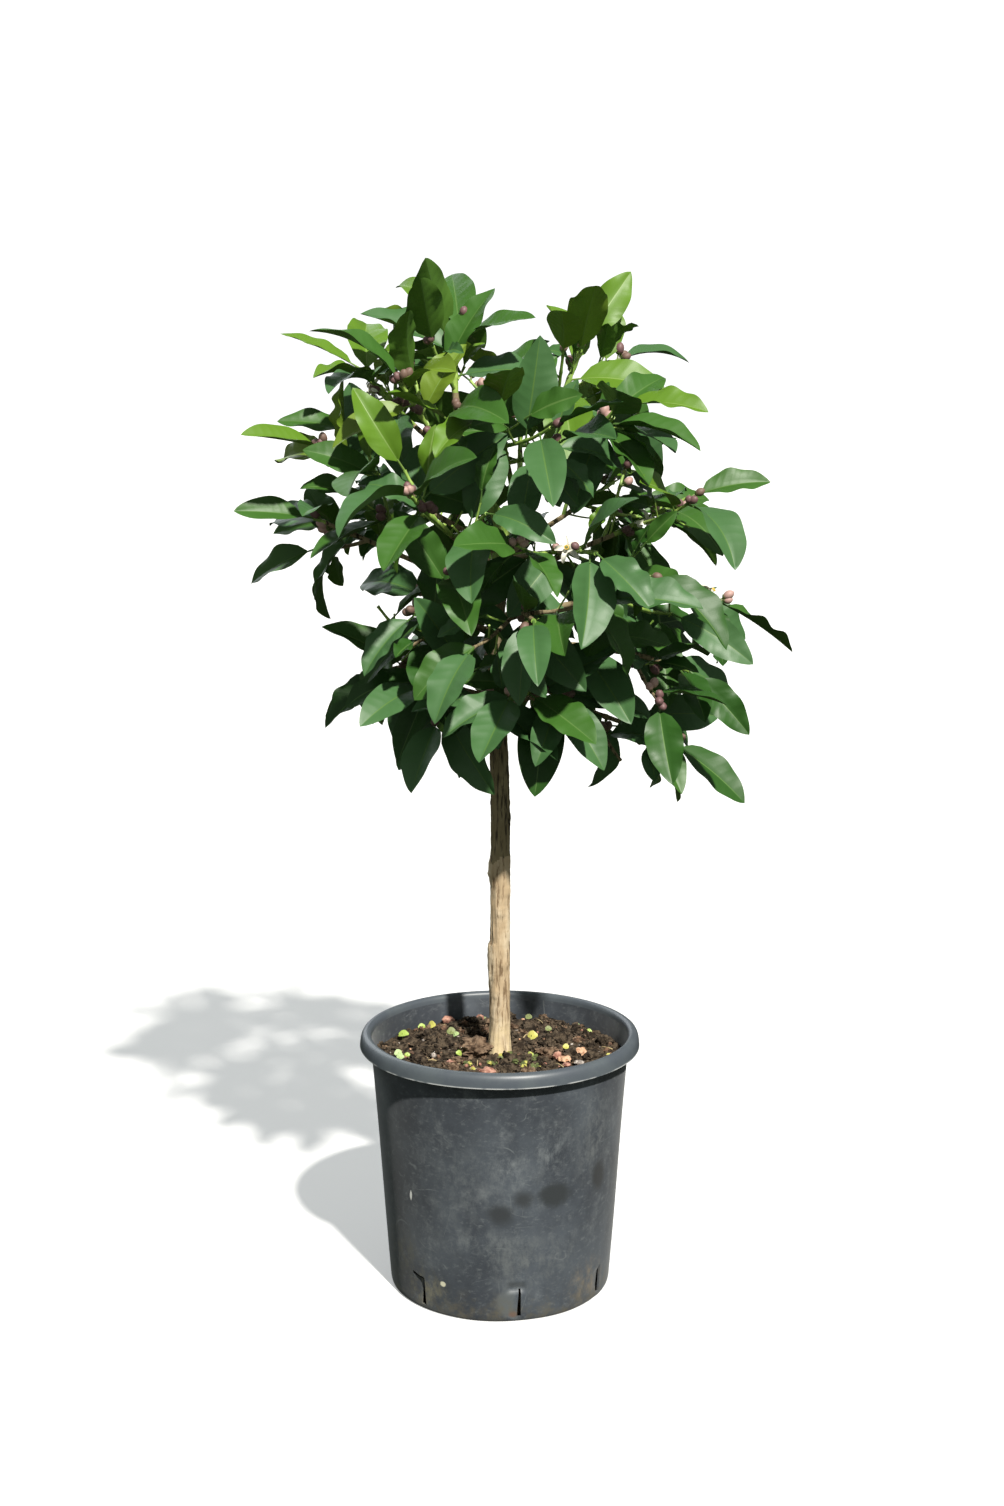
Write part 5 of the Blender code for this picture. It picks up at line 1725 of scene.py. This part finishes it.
def slot_cutter():
    """Blocks through the pot's wall: upright slits, some with a short level one left of the top."""
    shape = bmesh.new()
    for number, turn in slot_turns():
        out = Vector((sin(turn), -cos(turn), 0.0))
        right = UP.cross(out)
        gape = SLOT_GAPES.get(number, 1.0)
        narrow, wide = SLOT_WIDTHS[0] * gape, SLOT_WIDTHS[1] * gape
        low = SLOT_HIGH - SLOT_ARM_HEIGHT * gape
        left, other = (side * wide for side in SLOT_FOOT_SIDES)
        outlines = [((left, SLOT_LOW), (other, SLOT_LOW), (0.5 * narrow, SLOT_HIGH),
                     (-0.5 * narrow, SLOT_HIGH))]
        if number in ARMED_SLOTS:
            outlines.append(((-SLOT_ARM, low + SLOT_ARM_RISE), (0.5 * narrow, low), (0.5 * narrow, SLOT_HIGH),
                             (-SLOT_ARM, SLOT_HIGH - SLOT_ARM_TAPER + SLOT_ARM_RISE)))
        for outline in outlines:
            corners = [shape.verts.new(out * distance + right * side + UP * height)
                       for distance in (SLOT_CUT_INNER, SLOT_CUT_OUTER) for side, height in outline]
            bmesh.ops.convex_hull(shape, input=corners)
    mesh = bpy.data.meshes.new("slot_cutter")
    shape.to_mesh(mesh)
    shape.free()
    return add_object("slot_cutter", mesh)


def make_pot():
    """The pot with its rolled lip and drain slots."""
    profile = pot_profile()
    points, faces = turned_mesh(profile, POT_ROUND, pot_shift)
    mesh = bpy.data.meshes.new("pot_shell")
    mesh.from_pydata(points, [], faces)
    mesh.materials.append(FINISHES["pot_plastic"])
    mesh.materials.append(FINISHES["pot_lip"])
    first = profile.index(LIP_SECTION[1]) * POT_ROUND
    for polygon in mesh.polygons[first:first + (len(LIP_SECTION) - 2) * POT_ROUND]:
        polygon.material_index = 1
    pot = add_object("pot_shell", mesh)
    cutter = slot_cutter()
    boolean = pot.modifiers.new("slots", "BOOLEAN")
    boolean.operation = "DIFFERENCE"
    boolean.use_self = True
    boolean.object = cutter
    made = bpy.data.meshes.new_from_object(pot.evaluated_get(bpy.context.evaluated_depsgraph_get()))
    pot.modifiers.clear()
    pot.data = made
    bpy.data.objects.remove(cutter, do_unlink=True)
    made.shade_smooth()
    made.set_sharp_from_angle(angle=POT_SHARP_ANGLE)
    finish_piece(pot, ["pot"])


def soil_rise(x, y):
    """Height of the soil's top over its level at a place."""
    far = hypot(x, y)
    swell = noise.noise(Vector((x * SOIL_SWELL_SCALE, y * SOIL_SWELL_SCALE, SOIL_SWELL_SEED)))
    rim = clamp((far - SOIL_RIM) / (SOIL_RADIUS - SOIL_RIM))
    spot = Vector((x * SOIL_CRUMB_SCALE, y * SOIL_CRUMB_SCALE, SOIL_CRUMB_SEED))
    crumb = noise.fractal(spot, *SOIL_CRUMB_FRACTAL)
    near = clamp((far - SOIL_LEVEL_RADIUS) / SOIL_LEVEL_BLEND)
    dip = SOIL_DIP * rim * (SOIL_DIP_MIDDLE + y / SOIL_RADIUS)
    return SOIL_SWELL * swell * near + SOIL_CRUMB * crumb - dip


def on_soil(x, y, rise=0.0):
    """The place over the soil's top at a height above it."""
    return Vector((x, y, SOIL_LEVEL + soil_rise(x, y) + rise))


def make_soil():
    """The soil: one closed body with a crumbly top."""
    floor = POT_WALL + CLEAR
    inside = SOIL_RADIUS - 0.0002
    low = wall_radius(floor) - POT_WALL - SOIL_SHRUNK
    profile = [(0.0, floor), (low, floor), (low, SLOT_HIGH + SOIL_SHRUNK),
               (wall_radius(SOIL_WALL_HEIGHT) - POT_WALL - CLEAR, SOIL_WALL_HEIGHT),
               (inside - 0.001, SOIL_LEVEL - SOIL_SHOULDER)]
    profile += [(inside * ring / SOIL_RINGS, SOIL_LEVEL) for ring in range(SOIL_RINGS, -1, -1)]

    def shift(point):
        if point.z < SOIL_LEVEL - 0.001:
            return point
        return point + UP * soil_rise(point.x, point.y)

    piece = Piece()
    piece.add(*turned_mesh(profile, SOIL_ROUND, shift), 0)
    piece.build("soil_bed", ("soil_crumb",), "soil", ["soil"], SOIL_SHARP_ANGLE)


def unit_lump(level):
    """Corners and faces of a ball of triangles."""
    shape = bmesh.new()
    bmesh.ops.create_icosphere(shape, subdivisions=level, radius=1.0)
    corners = [vert.co.copy() for vert in shape.verts]
    faces = [tuple(vert.index for vert in face.verts) for face in shape.faces]
    shape.free()
    return corners, faces


def add_lump(piece, rng, lump, x, y, size, slot, rough, sunk, rise=0.0):
    """An uneven lump that lies on the soil, partly sunk in it."""
    corners, faces = lump
    stretch = Vector((rng.uniform(*LUMP_SPREAD), rng.uniform(*LUMP_SPREAD), rng.uniform(*LUMP_HEIGHT)))
    turn = rng.uniform(0.0, tau)
    seed = Vector((rng.uniform(0.0, 90.0), rng.uniform(0.0, 90.0), 0.0))
    place = Vector((x, y, SOIL_LEVEL + soil_rise(x, y) + size * (0.5 - sunk) + rise))
    points = []
    for corner in corners:
        bulge = 1.0
        for scale, share in LUMP_NOISES:
            bulge += rough * share * noise.noise(corner * scale + seed)
        spot = Vector(corner[axis] * stretch[axis] for axis in range(3)) * size * bulge
        points.append((place.x + spot.x * cos(turn) - spot.y * sin(turn),
                       place.y + spot.x * sin(turn) + spot.y * cos(turn), place.z + spot.z))
    piece.add(points, faces, slot)


def random_place(rng):
    """How far from the middle of the soil a random place lies, and the place."""
    far = CLOD_REACH * sqrt(rng.random())
    turn = rng.uniform(0.0, tau)
    return far, far * cos(turn), far * sin(turn)


def make_litter():
    """Clods, bark chips and pebbles on the soil."""
    rng = random.Random(CLOD_SEED)
    fine, middling, ball, coarse = (unit_lump(level) for level in (4, 3, 2, 1))
    clods, stones = Piece(), Piece()
    dark, chip, brown = range(3)
    for kind, count, sizes in CLOD_KINDS:
        for _ in range(count):
            far, x, y = random_place(rng)
            size = rng.uniform(sizes[0], blend(sizes, rng.random()))
            if far < TRUNK_ROOM + size:
                continue
            if size > CLOD_CLEAR and any(hypot(x - spot[0], y - spot[1]) < spot[2] + size
                                         for spot in PEBBLES + SPROUTS):
                continue
            piece, lump, slot = clods, ball, chip
            if kind == "mound":
                lump, slot = fine, dark
            elif kind == "clod":
                lump = middling if size > FINE_CLOD else ball if size > COARSE_CLOD else coarse
                slot = brown if rng.random() < BROWN_SHARE else dark
            elif kind in STONE_KINDS:
                piece, slot = stones, STONE_KINDS.index(kind)
            add_lump(piece, rng, lump, x, y, size, slot, *LUMP_LOOKS.get(kind, STONE_LOOKS))
    for x, y, size, kind in PEBBLES:
        if kind in STONE_KINDS:
            slot = STONE_KINDS.index(kind)
            add_lump(stones, rng, middling, x, y, size, slot, *BIG_STONE_LOOKS, LITTER_RISE)
        else:
            add_lump(clods, rng, fine, x, y, size, brown, *BIG_CLOD_LOOKS, LITTER_RISE)
    finishes = ("soil_clod", "bark_chip", "soil_clod_brown")
    clods.build("soil_clods", finishes, "soil", (), CLOD_SHARP_ANGLE)
    stones.build("soil_pebbles", STONE_KINDS, "soil")


def add_scrap(piece, leaf, slot):
    """A small plain leaf without a stalk."""
    sides = blade_grid(leaf, SCRAP_ROWS, SMALL_COLUMNS, BladeShape(1.0, 0.0, 0.0, 0.0, 0.0))
    points = [point for side in sides for point in side.reshape(-1, 3)]
    piece.add(points, two_sided(SCRAP_ROWS, len(SMALL_COLUMNS)), slot)


def make_seedlings(piece, rng):
    """Seedlings, each a leaf over a short stem."""
    for x, y, size, slot in SPROUTS:
        root = on_soil(x, y, LITTER_RISE - 0.001)
        turn = rng.uniform(-SPROUT_TURN, SPROUT_TURN) + (pi if rng.random() < 0.5 else 0.0)
        depth = sin(turn) * SPROUT_DEPTH
        heading = Vector((cos(turn), depth, rng.uniform(*SPROUT_RISE))).normalized()
        tilt = UP - BACK * rng.uniform(*SPROUT_TILT)
        normal = (tilt - heading * tilt.dot(heading)).normalized()
        start = root - heading * (STALK_LENGTH + size * 0.5) + UP * size * SPROUT_LIFT
        width, arch = size * rng.uniform(*SPROUT_SLENDER), rng.uniform(*SPROUT_ARCH)
        add_scrap(piece, Leaf(start, heading, normal, size, width, arch, SPROUT_FOLD), slot)
        top = SPROUT_SUNK + size * SPROUT_STEM
        profile = [(0.0, 0.0), (0.0004, 0.0005), (top, 0.0004), (top + 0.0004, 0.0)]
        add_turned(piece, root - UP * SPROUT_SUNK, UP, profile, 5, slot)


def make_moss(piece, rng):
    """Tufts of moss that stand together."""
    ball = unit_lump(2)
    for x, y, spread, count in MOSS:
        for _ in range(count):
            spot = (rng.gauss(x, spread), rng.gauss(y, spread))
            if hypot(*spot) < MOSS_ROOM:
                continue
            add_lump(piece, rng, ball, *spot, rng.uniform(*MOSS_SIZE), rng.choice(MOSS_SLOTS), *MOSS_LOOKS,
                     LITTER_RISE * rng.random())


def make_straws(piece, rng):
    """Bits of straw that lie on the soil, clear of the trunk."""
    for _ in range(STRAWS):
        far, x, y = random_place(rng)
        lie = rng.uniform(0.0, tau)
        start = on_soil(x, y, 0.002)
        reach = Vector((cos(lie), sin(lie), 0.0)) * rng.uniform(*STRAW_LENGTH)
        if far < STRAW_ROOM or (start + reach).to_2d().length > CLOD_REACH:
            continue
        straw = Curve(start, start + reach * 0.5 + UP * rng.uniform(*STRAW_RISE), start + reach)
        add_tube(piece, straw, lambda share: blend(STRAW_RADII, share), *STRAW_MESH, STRAW_SLOT)


def make_sprouts():
    """Seedlings, moss and straw on the soil."""
    rng = random.Random(CLOD_SEED + 1)
    piece = Piece()
    make_seedlings(piece, rng)
    make_moss(piece, rng)
    make_straws(piece, rng)
    piece.build("soil_sprouts", SPROUT_FINISHES, "soil")


def make_stage():
    """A wide pale floor that fills its own shadows a little, and throws no light on the plant."""
    profile = [(radius, 0.0) for radius in (0.0, *FLOOR_RINGS, FLOOR_RADIUS)]
    points, faces = turned_mesh(profile, FLOOR_ROUND, lambda point: point)
    mesh = bpy.data.meshes.new("floor")
    mesh.from_pydata(points, [], faces)
    new_material("floor_pale", FLOOR_ROUGHNESS, others=FLOOR_LOOKS)
    mesh.materials.append(FINISHES["floor_pale"])
    floor = add_object("floor", mesh)
    floor.visible_diffuse = False
    floor.visible_glossy = False


def add_sun(name, strength, spread, colour, turn, rise):
    """A distant lamp, turned from the front to the right and raised."""
    lamp = bpy.data.lights.new(name, "SUN")
    lamp.angle = spread
    lamp.energy = strength
    lamp.color = colour
    out = Vector((sin(turn) * cos(rise), -cos(turn) * cos(rise), sin(rise)))
    add_object(name, lamp).rotation_euler = out.to_track_quat("Z", "Y").to_euler()


def make_light():
    """A key lamp from the front right, a weak wide one from behind, and a pale sky over a dim ground."""
    for lamp in LAMPS:
        add_sun(*lamp)
    world = bpy.data.worlds.new("sky")
    world.use_nodes = True
    tree = world.node_tree
    path = add_node(tree, "LightPath", {}).outputs
    strength = add_node(tree, "MapRange", {"To Min": SKY_STRENGTH, "To Max": SKY_MIRRORED,
                                           "Value": path["Is Glossy Ray"]})
    sky = tree.nodes["Background"]
    above = by_z(tree, *HORIZON, "Generated")
    feed(tree, sky.inputs["Color"], mixed(tree, above, GROUND_COLOUR, SKY_COLOUR))
    feed(tree, sky.inputs["Strength"], strength.outputs["Result"])
    backdrop = add_node(tree, "Background", {"Color": WHITE, "Strength": BACKDROP})
    seen = add_node(tree, "MixShader", {"Fac": path["Is Camera Ray"], 1: sky.outputs["Background"],
                                        2: backdrop.outputs["Background"]})
    feed(tree, tree.nodes["World Output"].inputs["Surface"], seen.outputs["Shader"])
    bpy.context.scene.world = world
    bpy.context.scene.view_settings.view_transform = "Standard"


def make_camera():
    """The photograph's camera."""
    lens = bpy.data.cameras.new("camera")
    lens.sensor_width = CAMERA_SENSOR
    lens.sensor_fit = "AUTO"
    lens.lens = CAMERA_LENS
    camera = add_object("camera", lens)
    camera.location = CAMERA_PLACE
    camera.rotation_euler = (pi / 2.0 - CAMERA_PITCH, 0.0, 0.0)
    bpy.context.scene.camera = camera


def main():
    """Grow the crown as the solids grew, fill it, and dress every part of the plant."""
    noise.seed_set(LIMB_SEED)
    make_materials()
    masses, taken = grow_crown()
    fine = {mass.branch.name: grow_fine(mass, taken) for mass in masses}
    make_leaves(masses, fine)
    make_twigs(masses, fine)
    make_boughs(masses)
    make_trunk()
    for make in (make_buds, make_blossom, make_fruitlets):
        make(masses)
    for make in (make_pot, make_soil, make_litter, make_sprouts, make_stage, make_light, make_camera):
        make()


main()
